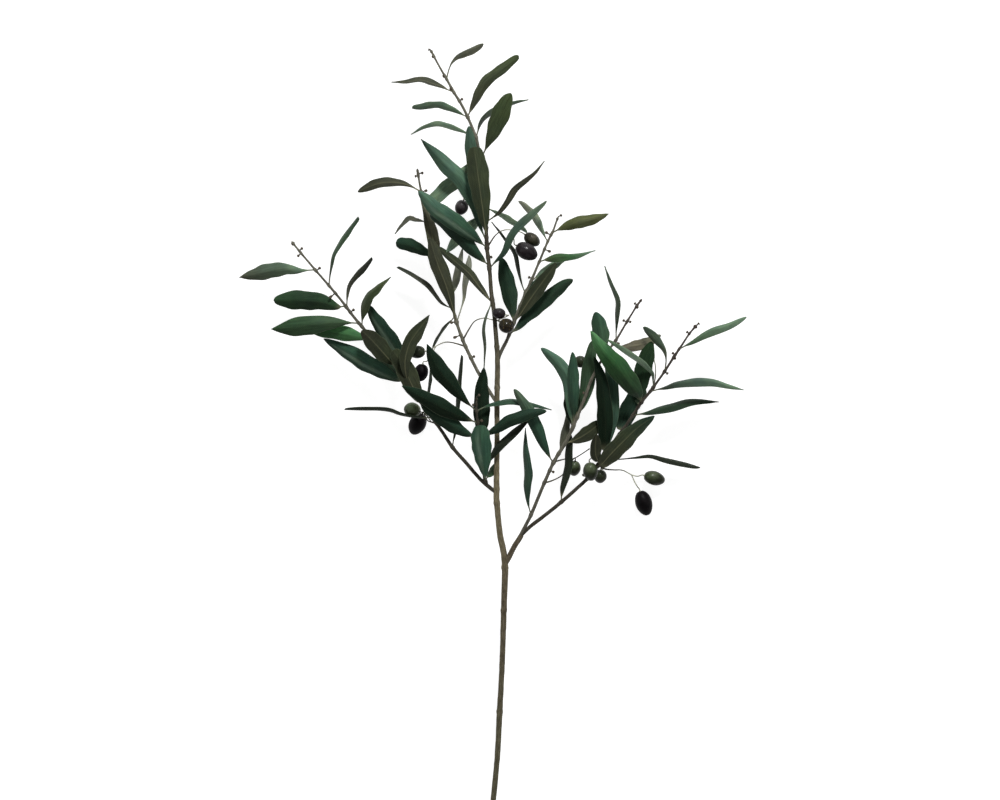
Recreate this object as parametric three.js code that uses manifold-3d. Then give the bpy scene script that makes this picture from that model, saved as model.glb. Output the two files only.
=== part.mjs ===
import * as THREE from 'three';
import { mergeVertices } from 'three/addons/utils/BufferGeometryUtils.js';
import Module from 'manifold-3d';

// A cut olive branch with fruit, lying on a table. Millimetres, +Z up.
// The origin is on the table under the cut end of the stem, +Y runs along the stem to its tip,
// and +X is to the right of someone who looks down on the branch from above its cut end.

// Driving dimensions.
const LEAF_THICKNESS = 0.7;
const LEAF_DROOP = THREE.MathUtils.degToRad(12);
const PETIOLE_LENGTH = 5;
const PETIOLE_WIDTH = 1.5;
const LEAF_TIP_WIDTH = 0.8;
const LEAF_END = 0.97;
const LEAF_STEP = 16;
const LEAF_MIN_STEPS = 5;
const LEAF_MAX_STEPS = 6;

const STEM_SIDES = 8;
const SHOOT_SIDES = 6;
const STALK_SIDES = 5;
const STEM_STEP = 18;
const SHOOT_STEP = 17;
const STALK_STEP = 8;

const SPUR_RADIUS = 0.8;
const SPUR_TIP_RADIUS = 1.3;
const STALK_ROOT_RADIUS = 1.1;
const STALK_END_RADIUS = 0.6;
const STALK_APPROACH = 2.5;
const SEAT_GAP = 0.5;

const OLIVE_SIDES = 9;
const OLIVE_RINGS = 6;
const OLIVE_DIMPLE = 0.9;
const OLIVE_RIM_ANGLE = 0.32;

const GAP = 0.3;
const BELOW_TABLE = [60, 140, 10];
const UP = new THREE.Vector3(0, 0, 1);
const LATHE_AXIS = new THREE.Vector3(0, 1, 0);
const SAMPLES_PER_POINT = 40;

// Leaf forms: where along its length a leaf is widest, and how it opens from its foot and closes to its
// tip. A low power is blunt and a high one drawn out.
const LEAF_FORMS = {
  lance: { widest: 0.42, foot: 1, tip: 0.9 },
  oblong: { widest: 0.5, foot: 0.85, tip: 0.5 },
  spoon: { widest: 0.62, foot: 1.05, tip: 0.55 },
  strap: { widest: 0.5, foot: 0.6, tip: 0.28 },
  oval: { widest: 0.62, foot: 0.55, tip: 0.48 },
  tapered: { widest: 0.28, foot: 0.7, tip: 1.1 },
  club: { widest: 0.7, foot: 0.8, tip: 0.28 },
  broad: { widest: 0.35, foot: 0.4, tip: 0.6 },
  almond: { widest: 0.45, foot: 0.8, tip: 0.7 },
  stalked: { widest: 0.74, foot: 2.2, tip: 0.55 },
  late: { widest: 0.6, foot: 1.1, tip: 0.85 },
};

const COLOURS = {
  bark: 0x5a5244,
  leaf: 0x24503a,
  black: 0x1e1820,
  dark: 0x262c20,
  dusky: 0x343232,
  young: 0x5c6844,
  russet: 0x3a382a,
  purple: 0x2c2026,
  green: 0x4a5438,
  mottled: 0x3c342c,
};
const ROUGHNESS = { bark: 0.8, leaf: 0.5, olive: 0.35 };

// Wood. Every point is [x, y, height, radius]; a shoot starts on the axis of the wood it grows from.

const MAIN_AXIS = [
  [-2, -23, 2.2, 2.8],
  [0, 0, 2.2, 2.8],
  [2, 24, 2.6, 2.8],
  [5.5, 62, 5, 2.8],
  [9.5, 106, 9, 2.8],
  [11.5, 146, 13, 3],
  [13, 173, 15.5, 2.8],
  [14.5, 206, 18.5, 2.8],
  [16, 256, 23, 3],
  [17, 294, 26.5, 3.3],
  [15, 313, 28.5, 3.2],
  [12, 327, 30, 3],
  [9, 357, 33.5, 3],
  [8.5, 371, 35, 3],
  [9, 422, 40, 2.6],
  [9, 462, 43.5, 2.7],
  [9.5, 502, 46.5, 2.6],
  [7.5, 532, 48.5, 2.2],
  [6, 550, 49.5, 2.1],
  [3.5, 567, 50.5, 2.1],
  [2, 587, 51.5, 2],
  [0.5, 602, 52, 1.9],
  [-1, 614, 52.5, 2],
  [-2, 640, 53.5, 1.8],
  [-3, 662, 54, 1.7],
  [-4, 682, 54.5, 1.6],
  [-5, 704, 55, 1.7],
  [-9, 712, 55, 1.5],
  [-12, 724, 55, 1.6],
  [-20, 744, 54.5, 1.4],
  [-27, 758, 54, 1.3],
  [-34.5, 770, 53, 1.3],
  [-41, 782, 52, 1.2],
  [-49, 796, 51, 1],
  [-57.5, 812, 50, 1],
];
// How many points along the main axis the leader takes over from the bare stem.
const LEADER_START = 17.2;

const RIGHT_ARM = [
  [17, 296, 27, 2],
  [21, 304.5, 28, 2.8],
  [26, 314.5, 29, 2.7],
  [33.5, 326.5, 30, 2.6],
];

const SHOOTS = {
  left_inner_shoot: {
    growsFrom: ['main_stem'],
    route: [
      [9, 459, 43.3, 1.6],
      [3, 468, 41.5, 1.8],
      [-10, 490, 38, 1.7],
      [-18, 506, 35.5, 1.7],
      [-24, 519, 33.5, 1.7],
      [-31, 538, 31.5, 1.5],
      [-36, 557, 30, 1.4],
      [-42, 577, 29, 1.3],
      [-48, 600, 29, 1.3],
      [-54, 624, 29.5, 1.2],
      [-61, 650, 30.5, 1.1],
      [-67, 671, 31.5, 1.1],
      [-71, 694, 32.5, 0.9],
    ],
    spurs: [[-64.5, 689.5, 33], [-73.5, 686, 33], [-60.5, 672, 32], [-35, 524, 33], [-38, 539, 32],
      [-13, 506, 38]],
    leaves: [
      ['spoon', 11, 165, 160, [-67, 670.5], [-77, 676, 1], [-87, 679, 2], [-98, 680, 2],
        [-108, 679, 1.5], [-119, 675.5, -1], [-130.5, 670.5, -5]],
      ['tapered', 13, 172, 168, [-50, 605], [-53.5, 617, 9], [-56.5, 629, 12], [-60.5, 646, 13],
        [-65, 658.5, 13], [-69, 668.5, 12]],
      ['spoon', 17, 172, 165, [-31, 540], [-36.5, 558, 8], [-42.5, 578, 15], [-50.5, 598, 18.5],
        [-58.5, 624, 19]],
      ['club', 14, 16, 10, [-48, 605], [-59, 608.5, -4], [-69, 613, -6], [-78, 617, -8],
        [-92.5, 620, -11]],
      ['lance', 13, 115, 110, [-61, 640], [-72.5, 641.5, -3], [-79, 642.5, -5], [-86.5, 636, -7],
        [-93.5, 628.5, -9]],
      ['strap', 12, 115, 112, [-37, 553], [-46.5, 558.5, 0], [-54, 567, -1], [-63.5, 578, -3],
        [-76.5, 586.5, -5], [-91.5, 595, -6]],
      ['lance', 12, 50, 45, [-35, 562], [-33, 582, -8], [-28.5, 604, -11], [-25, 616, -12]],
      ['stalked', 12, 130, 125, [-30, 540], [-25, 561, -4], [-24, 578, -4], [-21, 594, -5],
        [-19, 607, -6]],
      ['strap', 12, 104, 102, [-37.5, 545], [-46.5, 529, -6], [-55.5, 513, -10]],
      ['oblong', 15, 10, 15, [-41, 574], [-46, 586, -10], [-53, 600, -20], [-60, 612, -27]],
    ],
    stalks: [
      ['olive_04', [-24, 515], [-36, 519.5, 38], [-44, 519.5, 39.5], [-52, 516, 38], [-58, 512, 35.5]],
      ['olive_05', [-52, 516, 38], [-57, 507, 38], [-61, 501, 36]],
      [
        'olive_07', [-25, 522], [-19, 533, 38], [-13, 541, 41], [-4, 544, 42], [3, 542.5, 42.5],
        [9, 541.5, 44], [11.5, 540, 50],
      ],
      ['olive_06', [9, 541.5, 44], [15, 544, 49.5], [20.5, 546.5, 54.5]],
    ],
  },
  right_small_shoot: {
    growsFrom: ['main_stem'],
    route: [
      [9.5, 499, 46.3, 1.6],
      [12.5, 509, 47, 1.8],
      [19, 522, 47.5, 1.7],
      [25, 537, 48, 1.6],
      [32, 556, 48.5, 1.4],
      [39, 572, 49, 1.3],
      [44, 583, 49, 1.3],
      [52, 602, 49.5, 1.2],
      [60, 621, 50, 1.1],
      [65, 631, 50.5, 1],
      [70, 645, 51.5, 0.9],
    ],
    spurs: [[74, 647, 52], [57, 630, 51], [63, 610, 50], [40, 585, 50]],
    leaves: [
      ['oblong', 12, 52, 50, [60, 620], [53.5, 631.5, -5], [45.5, 645.5, -7], [38, 654, -8],
        [30.5, 661, -8]],
      ['almond', 13, 15, 12, [64.5, 629], [74, 634, 1], [87, 639, 3], [102, 642, 3], [112, 645, 2.5],
        [120.5, 648, 1]],
      ['tapered', 12, 38, 55, [52, 600], [60, 603, 1], [70, 605, 1.5], [81, 605.5, 1], [92, 607.5, -1],
        [107.5, 611.5, -6]],
      ['lance', 12, 42, 38, [44, 580], [57, 591.5, -8], [68, 598.5, -12], [79, 603.5, -15]],
      ['oblong', 15, 170, 165, [26, 540], [31, 546, 4], [40.5, 560.5, 8], [51.5, 576, 11],
        [61, 589, 13], [68, 599, 13]],
      ['oval', 14.5, 18, 12, [22, 527], [29, 534, -1], [38, 544, -2], [51, 556, -3], [64, 568, -4],
        [75, 577, -5], [85, 582.5, -6]],
      ['oblong', 17, 10, 5, [25, 538], [24, 553, -6], [20.5, 572, -9], [16.5, 590, -10],
        [13, 604.5, -11]],
      ['lance', 12, 72, 70, [38, 568], [32.5, 581, -8], [29, 594, -12], [26, 608, -15],
        [19.5, 618, -16], [11.5, 629.5, -16], [3.5, 640.5, -16]],
      ['oblong', 14, 10, 20, [32, 556], [41, 568, -14], [49, 578, -27], [57, 587, -38]],
    ],
    stalks: [],
  },
  left_shoot: {
    growsFrom: ['main_stem'],
    route: [
      [8.5, 369, 34.8, 1.8],
      [1, 375, 35.5, 2],
      [-8, 383, 36.5, 1.9],
      [-21, 398, 37.5, 1.8],
      [-35, 414, 38, 1.9],
      [-45, 429, 38.5, 1.7],
      [-52, 439, 38.5, 1.7],
      [-63, 454, 38.5, 1.7],
      [-73, 467, 38.5, 1.6],
      [-83, 482, 38, 1.6],
      [-93, 496, 37.5, 1.6],
      [-108, 515, 37, 1.5],
      [-125, 534, 36.5, 1.5],
      [-135, 546, 36, 1.4],
      [-141, 554, 36, 1.4],
      [-152, 568, 35.5, 1.2],
      [-174, 593.5, 34.5, 1.1],
      [-188, 610, 33.5, 1],
      [-197, 621, 33, 0.9],
    ],
    spurs: [[-185.5, 614.5, 35], [-191, 605.5, 34], [-167.5, 595, 36], [-159, 564, 36],
      [-133.5, 553, 37], [-196.5, 617.5, 34]],
    leaves: [
      ['late', 16, 8, 5, [-173, 592], [-190, 591.5, -1], [-203, 593, -3], [-218, 591.5, -7],
        [-233, 588, -11], [-249.5, 585, -15]],
      ['club', 12, 68, 62, [-158, 577], [-157.5, 594, 5], [-155, 607, 9], [-147, 621, 12],
        [-139, 632.5, 13], [-129.5, 645, 13]],
      ['oval', 20, 8, 6, [-143, 555.5], [-152, 555.5, -2], [-164, 559.5, -5], [-180, 561.5, -8],
        [-198, 562, -10], [-215, 562, -12]],
      ['club', 12, 120, 116, [-141, 555], [-140.5, 571, 6], [-138, 579, 8], [-131.5, 587.5, 10],
        [-123.5, 596, 10], [-116, 604.5, 9]],
      ['late', 20.5, -8, -4, [-129, 539], [-151, 539.5, 5], [-172, 538, 7], [-187, 536, 5],
        [-203, 534, 2], [-217, 533, -1]],
      ['lance', 15.5, 45, 55, [-126, 536], [-125, 551, 7], [-120, 565, 12], [-113, 572, 13],
        [-105, 579, 13], [-97, 585, 12]],
      ['oblong', 16.5, 14, 10, [-83, 482], [-87, 500, -8], [-94, 516, -9], [-104.5, 531, -8],
        [-114, 545, -7], [-119.5, 557, -6]],
      ['oblong', 16, 20, 10, [-114, 522], [-133, 526, -3], [-153, 529.5, -5], [-177, 530.5, -8]],
      ['almond', 19, 20, 14, [-82, 479], [-93, 483.5, -5], [-107.5, 491, -8], [-122, 498.5, -11],
        [-136, 507, -13], [-165, 523.5, -16]],
      ['oblong', 20.5, 172, 165, [-92, 493], [-102, 506, 7], [-115.5, 521, 9], [-126.5, 531.5, 8]],
      ['late', 15.5, 168, 160, [-79, 475], [-82, 487, 12], [-83, 501, 19], [-79, 517, 22],
        [-72, 528.5, 22], [-58.5, 547, 18]],
      ['strap', 20, 172, 168, [-64, 456], [-70, 465, 5], [-77, 479, 8], [-84, 494, 10], [-89, 503, 12],
        [-95.5, 511.5, 13]],
      ['strap', 12, 76, 76, [-62, 453], [-61, 466, -12], [-59, 482, -19], [-58, 496, -22]],
      ['strap', 8.5, 64, 62, [-56, 444], [-72, 444.5, -7], [-88, 447.5, -9], [-100, 451.5, -11],
        [-122, 452.5, -15], [-144, 452.5, -20]],
      ['strap', 12, 68, 68, [-35, 415], [-32, 442, -1], [-30, 476, -5], [-26.5, 507, -8]],
      ['oblong', 14, 10, 15, [-84, 483], [-95, 494, -14], [-107, 505, -26], [-119, 515, -35]],
    ],
    stalks: [
      ['olive_09', [-52, 439], [-57, 440, 34], [-61, 442, 27]],
      ['olive_08', [-57, 440, 34], [-61, 446, 32], [-65, 449.5, 28]],
    ],
  },
  left_short_shoot: {
    growsFrom: ['left_shoot'],
    route: [
      [-1, 377, 36, 1.5],
      [-4, 386, 40, 1.4],
      [-7, 407, 48, 1.2],
      [-10, 437, 54, 1.1],
      [-11.5, 452, 56.5, 1],
      [-11.5, 465, 58.5, 0.9],
    ],
    spurs: [[-16, 457, 58], [-8, 467.5, 59.5], [-5, 441.5, 56]],
    leaves: [
      ['club', 20.5, 5, 8, [-3, 380], [-4, 393, 11], [-6, 410, 19], [-7.5, 424, 23], [-8, 437, 23]],
      ['lance', 12, 48, 45, [-3, 382], [2, 388, -8], [8, 400, -11]],
      ['oblong', 11.5, 44, 42, [-5, 392], [2, 403.5, 2], [10, 415, 5], [21.5, 426, 6], [30.5, 434, 6],
        [40.5, 442.5, 4]],
      ['oblong', 13, 12, 8, [-8.5, 424], [0, 428.5, 3], [9, 433.5, 6], [19, 440, 9], [30, 444.5, 11],
        [44, 449, 11], [58.5, 451, 11]],
      ['oblong', 16, 10, 8, [-8.5, 424], [-25, 430, 0], [-43, 441.5, 1], [-58, 451.5, 0],
        [-67, 458, 0]],
      ['almond', 17.5, 12, 8, [-10, 439], [-33, 448, 4], [-58, 461, 3], [-86, 476, 1]],
      ['late', 18.5, 8, 10, [-11, 451], [-24.5, 463, 3], [-35, 475.5, 2], [-46, 488.5, 1],
        [-54.5, 502.5, -1], [-61, 518, -3]],
      ['lance', 12, 58, 58, [-10, 451], [0, 456.5, -2], [11, 459.5, -4], [22, 461.5, -7],
        [34, 460, -9.5], [49, 456.5, -11], [63.5, 452, -12]],
      ['broad', 17, 8, 5, [-8, 424], [-7, 433, -3], [-6.5, 450, -6], [-6.5, 470, -8], [-4, 494.5, -9]],
    ],
    stalks: [],
  },
  right_outer_shoot: {
    growsFrom: ['main_stem'],
    route: [
      [31, 324, 29.8, 1.8],
      [42, 335, 30.5, 1.9],
      [57, 346.5, 31.5, 1.9],
      [73, 359.5, 32.5, 1.9],
      [89, 373.5, 33.5, 1.8],
      [102, 386, 34, 1.9],
      [114, 402, 34.5, 1.7],
      [125, 419, 35, 1.6],
      [137, 435, 35.5, 1.6],
      [146, 448, 36, 1.5],
      [153, 459, 36.5, 1.5],
      [162, 470, 37, 1.4],
      [170, 481, 37.5, 1.2],
      [177, 491, 38, 1.2],
      [186, 505, 38, 1.2],
      [196, 520, 38, 1],
      [202, 529, 38, 0.9],
      [209, 537, 38, 1],
    ],
    spurs: [
      [211.5, 539, 39],
      [206.5, 536.5, 39],
      [198.5, 530.5, 39],
      [184, 509.5, 39],
      [188, 503, 39],
      [180.5, 488, 38],
      [94.5, 388, 36],
    ],
    leaves: [
      ['strap', 11, 42, 40, [73, 360], [74, 373, 2], [77.5, 386, 3], [80, 399, 4], [80.5, 415, 5],
        [81.5, 428, 5]],
      ['oblong', 13, 160, 155, [111, 399], [108, 405, 12], [107, 415, 18], [108, 428, 22]],
      ['broad', 19, 170, 165, [109.5, 396], [114, 398, 6], [120.5, 405.5, 11], [127.5, 413, 14],
        [137.5, 423, 15], [149, 434, 14], [166.5, 446, 11]],
      ['stalked', 10, 52, 55, [115, 404], [129, 402.5, -4], [146, 404, -7], [162, 406, -9],
        [177, 402.5, -12], [192, 399, -15], [213, 394, -19]],
      ['broad', 16.5, -12, -8, [116, 406], [117.5, 430, 6], [116.5, 460, 14], [112.5, 486, 19],
        [106, 505, 22]],
      ['oblong', 15.5, 14, 10, [118, 409], [122.5, 432, 2], [124, 462, 5], [122.5, 488, 5],
        [120.5, 510, 4]],
      ['broad', 19, 10, 15, [131.5, 428], [136.5, 442, -10], [142, 456, -13], [148, 469, -14],
        [153, 481, -13]],
      ['almond', 22, 8, 4, [153, 460], [149, 469, 18], [140.5, 480, 26], [128.5, 495, 31],
        [114.5, 511.5, 31], [102.5, 531, 27]],
      ['oblong', 18.5, 16, 12, [154, 460], [153.5, 473, 4], [155.5, 495, 9], [163.5, 520.5, 11]],
      ['lance', 15, 55, 50, [146, 446], [160.5, 449.5, -2], [173, 453, -4], [186, 456.5, -6],
        [200, 460, -9], [215, 461, -12], [231.5, 460, -15]],
      ['lance', 14, 62, 38, [163, 470], [177, 474.5, 3], [189, 478.5, 5], [205, 480.5, 5],
        [223, 480.5, 3], [239, 476.5, 0], [256, 472, -3]],
      ['oblong', 12, 66, 58, [166, 475], [164, 486.5, 9], [159.5, 492.5, 16], [150.5, 500.5, 24],
        [137.5, 509, 31], [119, 522, 34]],
      ['stalked', 13, 52, 48, [177, 491], [178, 503, 8], [175, 512, 13], [168.5, 520.5, 15],
        [162, 527.5, 16], [155, 535, 16]],
      ['oblong', 11.3, 46, 42, [192, 512], [206, 521, 4], [222, 530, 6], [239, 536, 7],
        [258.5, 545, 6]],
      ['oblong', 14, 15, 10, [150, 455], [152, 466, -17], [152, 478, -29], [151, 489, -35]],
    ],
    stalks: [
      ['olive_14', [110, 397.5], [117, 393, 32], [126, 392, 29.5], [135, 391.5, 26], [144, 387, 21],
        [150, 385.5, 16]],
      ['olive_15', [144, 387, 21], [147, 380, 18], [150, 375, 14]],
      ['olive_12', [113, 401], [109.5, 403, 38.5], [104.5, 404, 43]],
      ['olive_13', [114, 402], [116, 396, 31], [115, 392.5, 29]],
      [null, [166, 473], [167.5, 485, 36], [167.5, 496, 39], [165.5, 505, 43]],
    ],
  },
  right_inner_shoot: {
    growsFrom: ['main_stem', 'right_outer_shoot'],
    route: [
      [31.5, 324.5, 30, 1.7],
      [43, 347, 33, 1.8],
      [53, 371, 36.5, 1.7],
      [62, 392, 40, 1.7],
      [68, 404, 42, 1.8],
      [79, 422, 45, 1.7],
      [90, 447, 48, 1.6],
      [98, 468, 50, 1.6],
      [104, 484, 51, 1.4],
      [115, 504, 51.5, 1.2],
      [128, 522, 51.5, 1.1],
      [137, 537, 51, 1],
      [148, 555, 50, 0.9],
      [154, 563, 49.5, 1],
    ],
    spurs: [
      [66.5, 389.5, 41],
      [94.5, 469.5, 51.5],
      [134.5, 542, 52],
      [143, 539.5, 52],
      [146, 559, 51],
      [150, 554, 51],
      [131.5, 517.5, 52.5],
    ],
    leaves: [
      ['lance', 12, 42, 45, [43, 347], [39.5, 361, 1], [38.5, 375, 2], [39.5, 386, 2], [39, 398, 3],
        [37, 412, 3], [37.5, 434, 3]],
      ['oblong', 13.5, 12, 8, [65, 399], [58.5, 411, 5], [50, 430.5, 10], [41.5, 449, 14],
        [26, 473, 17]],
      ['lance', 11, 42, 40, [71, 408], [74, 418, -9], [76.5, 430, -15.5], [79, 442, -19],
        [80.5, 454, -20]],
      ['oblong', 15.5, 168, 165, [78, 418], [89, 423, -4], [101, 430, -6], [116, 442, -9]],
      ['oblong', 17, 12, 10, [84, 432], [83.5, 450, -9], [83.5, 467, -12], [82.5, 486, -13]],
      ['oblong', 14.5, 10, 5, [85, 435], [82.5, 452, -4], [82.5, 469, -6], [78.5, 487, -7],
        [67.5, 501.5, -7], [53, 514, -7]],
      ['oblong', 12.5, 20, 15, [86, 437], [85.5, 462, -1], [85, 490, -1], [84.5, 510, -2]],
      ['oblong', 15.5, 16, 10, [90, 445], [95.5, 460, -4], [100, 487, -7], [104, 521, -8]],
      ['oblong', 17.5, 8, 5, [115, 504], [114, 517, -4], [112, 532, -6], [107.5, 550, -7]],
      ['lance', 12, 68, 64, [128, 522], [128, 544, 4], [128.5, 559, 7], [125.5, 569.5, 8],
        [120.5, 582, 9], [116.5, 596, 9]],
      ['oblong', 12, 172, 165, [125, 518], [134, 514.5, -4], [148, 516.5, -9], [160, 520, -13],
        [173, 527, -16]],
      ['oblong', 14, 10, 15, [89, 444], [87, 458, -16], [85, 472, -30], [83, 485, -40]],
    ],
    stalks: [
      ['olive_10', [103, 482], [106, 486, 47], [106, 492, 40], [103, 496, 37]],
      ['olive_11', [58, 378], [66, 382, 33], [74.5, 387, 28.5], [82, 397.5, 29.5], [86, 403.5, 30]],
      [null, [66, 400], [71.5, 401.5, 34], [78, 403, 30.5], [85, 403, 30], [94, 408, 30],
        [102, 413.5, 30]],
    ],
  },
};

const LEADER = {
  spurs: [[-45, 785, 53], [-25, 763, 56], [-56, 804.5, 51], [4.5, 605, 53], [-37.5, 772.5, 55],
    [-59.5, 812, 51]],
  leaves: [
    ['stalked', 12, 132, 124, [-40.5, 783], [-39, 792, 4], [-35.5, 799.5, 8], [-29, 805.5, 10],
      [-17, 811, 10], [-4.5, 817.5, 8]],
    ['lance', 13, 125, 118, [-34.5, 769], [-47.5, 775, 2], [-58, 778.5, 4], [-67.5, 781, 6],
      [-82, 779, 4], [-96.5, 779.5, 2]],
    ['strap', 10.5, 50, 45, [-21, 744], [-30.5, 749.5, -2], [-39, 753, -3], [-48, 756, -5],
      [-57, 756, -6], [-67, 754.5, -7], [-76, 754, -9]],
    ['strap', 11.5, 15, 10, [-20, 745], [-13.5, 760, 7], [-8, 771, 12], [-1, 781, 14], [10, 789.5, 14],
      [21, 798, 13], [30.5, 805.5, 12]],
    ['lance', 10, 58, 55, [-13, 725], [-23, 729, -1], [-33, 732.5, -2], [-42, 735.5, -3],
      [-51, 737, -3], [-64, 734, -5], [-77, 727.5, -8]],
    ['lance', 12, -62, -58, [-12, 724], [-7.5, 738, -8], [-1, 745.5, -12], [12, 753.5, -19],
      [26, 759, -24], [40.5, 763, -28]],
    ['spoon', 19, 8, -8, [-5, 706], [0.5, 719, 5], [6.5, 732.5, 8], [12.5, 746.5, 11], [17.5, 758, 12],
      [23, 768, 12]],
    ['lance', 12, 60, 55, [-4.5, 701], [-3.5, 688, -9], [-2.5, 676, -14], [-1, 662, -18]],
    ['oblong', 14.5, 12, 8, [-3.5, 657], [-8.5, 675, 2], [-15, 702, 5], [-18, 720, 5], [-19, 735.5, 3]],
    ['club', 22, 174, 168, [-2, 624], [-4.5, 647, 10], [-8.5, 675, 16], [-11.5, 697, 16],
      [-14, 714.5, 15]],
    ['late', 17, -12, -8, [-1.5, 619], [-8.5, 638, 4], [-14.5, 659.5, 7], [-27, 682, 10],
      [-41.5, 696.5, 10], [-67, 722.5, 6]],
    ['strap', 16, 170, 168, [-5, 703], [-17, 694, -7], [-31, 682, -9], [-45, 670.5, -10],
      [-61, 655.5, -10]],
    ['oblong', 18, 10, 5, [-1, 614], [-12, 623, 9], [-24, 632.5, 13], [-38, 643, 14], [-52, 652.5, 12],
      [-69.5, 670.5, 7]],
    ['strap', 15.5, 18, 10, [0.5, 596], [-10.5, 606.5, 3], [-22.5, 619, 5], [-35.5, 632, 5],
      [-46, 641, 3], [-57.5, 648.5, 0]],
    ['lance', 10, 135, 128, [-2, 639.5], [10, 648.5, 3], [18, 659, 7], [25, 671, 9], [36, 680.5, 10],
      [46.5, 689, 9], [56.5, 700.5, 8]],
    ['oblong', 12, -62, -57, [-2.5, 655], [8, 649, -5], [18, 643, -9], [28.5, 636.5, -13],
      [39, 629.5, -18]],
    ['oblong', 12, 48, 42, [1.5, 593], [8, 601, 6], [15.5, 610, 12], [22.5, 626, 17], [30, 636, 19],
      [44, 648.5, 18], [58.5, 660.5, 15]],
    ['almond', 15, 32, 28, [-2.5, 649], [-16, 636, -7], [-30, 622, -10], [-42, 609, -12]],
    ['lance', 12, 106, 102, [4, 562], [-3, 537, 3], [-2, 517, 5], [-4, 494, 6]],
    ['strap', 9.5, 165, 162, [4, 558], [-9, 575.5, -4], [-19.5, 589, -6.5], [-33, 600.5, -7.5],
      [-50, 614.5, -7.5]],
    ['oblong', 15, 10, 15, [-2, 634], [-6, 657, -20], [-9, 677, -38], [-12, 697, -52.1]],
  ],
  stalks: [
    ['olive_01', [-2.5, 646], [-10, 654, 51], [-17, 662.5, 49.5]],
    ['olive_02', [-1, 614], [7, 626, 53.5], [15, 631.5, 52], [24, 632, 49], [31, 630.5, 46]],
    ['olive_03', [24, 632, 49], [25, 626, 51], [26, 622, 52]],
  ],
};

// Fruit: [long axis, width, centre, direction from the centre to the stalk, colour].

const OLIVES = {
  olive_01: [15.5, 13.5, [-26.5, 654.5, 48.5], [0.3, 0.95, 0.05], 'dusky'],
  olive_02: [18, 13, [44, 622.5, 41.5], [-0.82, 0.57, 0.2], 'russet'],
  olive_03: [24, 17, [38.5, 610.5, 52], [-0.86, 0.5, 0], 'black'],
  olive_04: [17, 13, [-71, 510, 34], [0.95, 0.1, 0.1], 'dark'],
  olive_05: [18, 14.5, [-67, 489.5, 34], [0.2, 0.95, 0.1], 'purple'],
  olive_06: [13.5, 11, [11, 548.5, 58], [0.95, -0.2, -0.15], 'black'],
  olive_07: [16, 15, [18.5, 536, 57.5], [-0.7, 0.5, -0.35], 'mottled'],
  olive_08: [17.5, 15.5, [-76, 452, 24], [0.85, -0.2, 0.3], 'young'],
  olive_09: [24, 17, [-71, 438, 8.8], [0.42, 0.82, 0.3], 'purple'],
  olive_10: [13, 12, [92.5, 500.5, 31], [0.9, -0.3, 0.1], 'dark'],
  olive_11: [16, 13, [86.5, 393.5, 22], [0.1, 0.95, 0.3], 'green'],
  olive_12: [19, 15, [102.5, 390.5, 44.5], [-0.1, 0.97, 0.1], 'green'],
  olive_13: [14, 13, [112.5, 385.5, 27], [0.1, 0.95, 0.2], 'green'],
  olive_14: [22, 14.5, [167, 383.5, 12], [-0.95, 0.25, 0.15], 'green'],
  olive_15: [26, 17, [156.5, 358.5, 8.6], [-0.31, 0.95, 0.05], 'purple'],
};

// A smooth route through hand-placed points, which keeps the radius of the wood at each of them.

class Route extends THREE.CatmullRomCurve3 {
  constructor(rows) {
    super(rows.map(([x, y, z]) => new THREE.Vector3(x, y, z)), false, 'catmullrom', 0.5);
    this.radii = rows.map((row) => row[3]);
  }

  radiusAt(t) {
    const place = t * (this.radii.length - 1);
    const before = Math.min(Math.floor(place), this.radii.length - 2);
    return THREE.MathUtils.lerp(this.radii[before], this.radii[before + 1], place - before);
  }

  // The place on the route that is nearest to [x, y], seen from above.
  nearestTo([x, y]) {
    const samples = SAMPLES_PER_POINT * (this.points.length - 1);
    let best = { distance: Infinity, t: 0 };
    for (let i = 0; i <= samples; i += 1) {
      const point = this.getPoint(i / samples);
      const distance = Math.hypot(point.x - x, point.y - y);
      if (distance < best.distance) {
        best = { distance, t: i / samples };
      }
    }
    return best.t;
  }
}

// The direction across a route, level with the table, and the one square to it that points up.
function sectionAxes(curve, t) {
  const along = curve.getTangent(t);
  const across = new THREE.Vector3().crossVectors(along, UP).normalize();
  const upward = new THREE.Vector3().crossVectors(across, along);
  return { across, upward };
}

// A closed skin over rings of points, with a flat cap at each end. Quads past splitFrom are split the
// other way, so that the two faces of a blade are split alike.
function skin(rings, splitFrom = Infinity) {
  const count = rings[0].length;
  const positions = rings.flat().flatMap((point) => [point.x, point.y, point.z]);
  const faces = [];
  for (let i = 0; i < rings.length - 1; i += 1) {
    for (let j = 0; j < count; j += 1) {
      const next = (j + 1) % count;
      const a = i * count + j;
      const b = i * count + next;
      const c = (i + 1) * count + next;
      const d = (i + 1) * count + j;
      if (j < splitFrom) {
        faces.push(a, c, b, a, d, c);
      } else {
        faces.push(a, d, b, b, d, c);
      }
    }
  }
  const last = (rings.length - 1) * count;
  for (let j = 1; j < count - 1; j += 1) {
    faces.push(0, j, j + 1);
    faces.push(last, last + j + 1, last + j);
  }
  const geometry = new THREE.BufferGeometry();
  geometry.setAttribute('position', new THREE.Float32BufferAttribute(positions, 3));
  geometry.setIndex(faces);
  return geometry;
}

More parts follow.
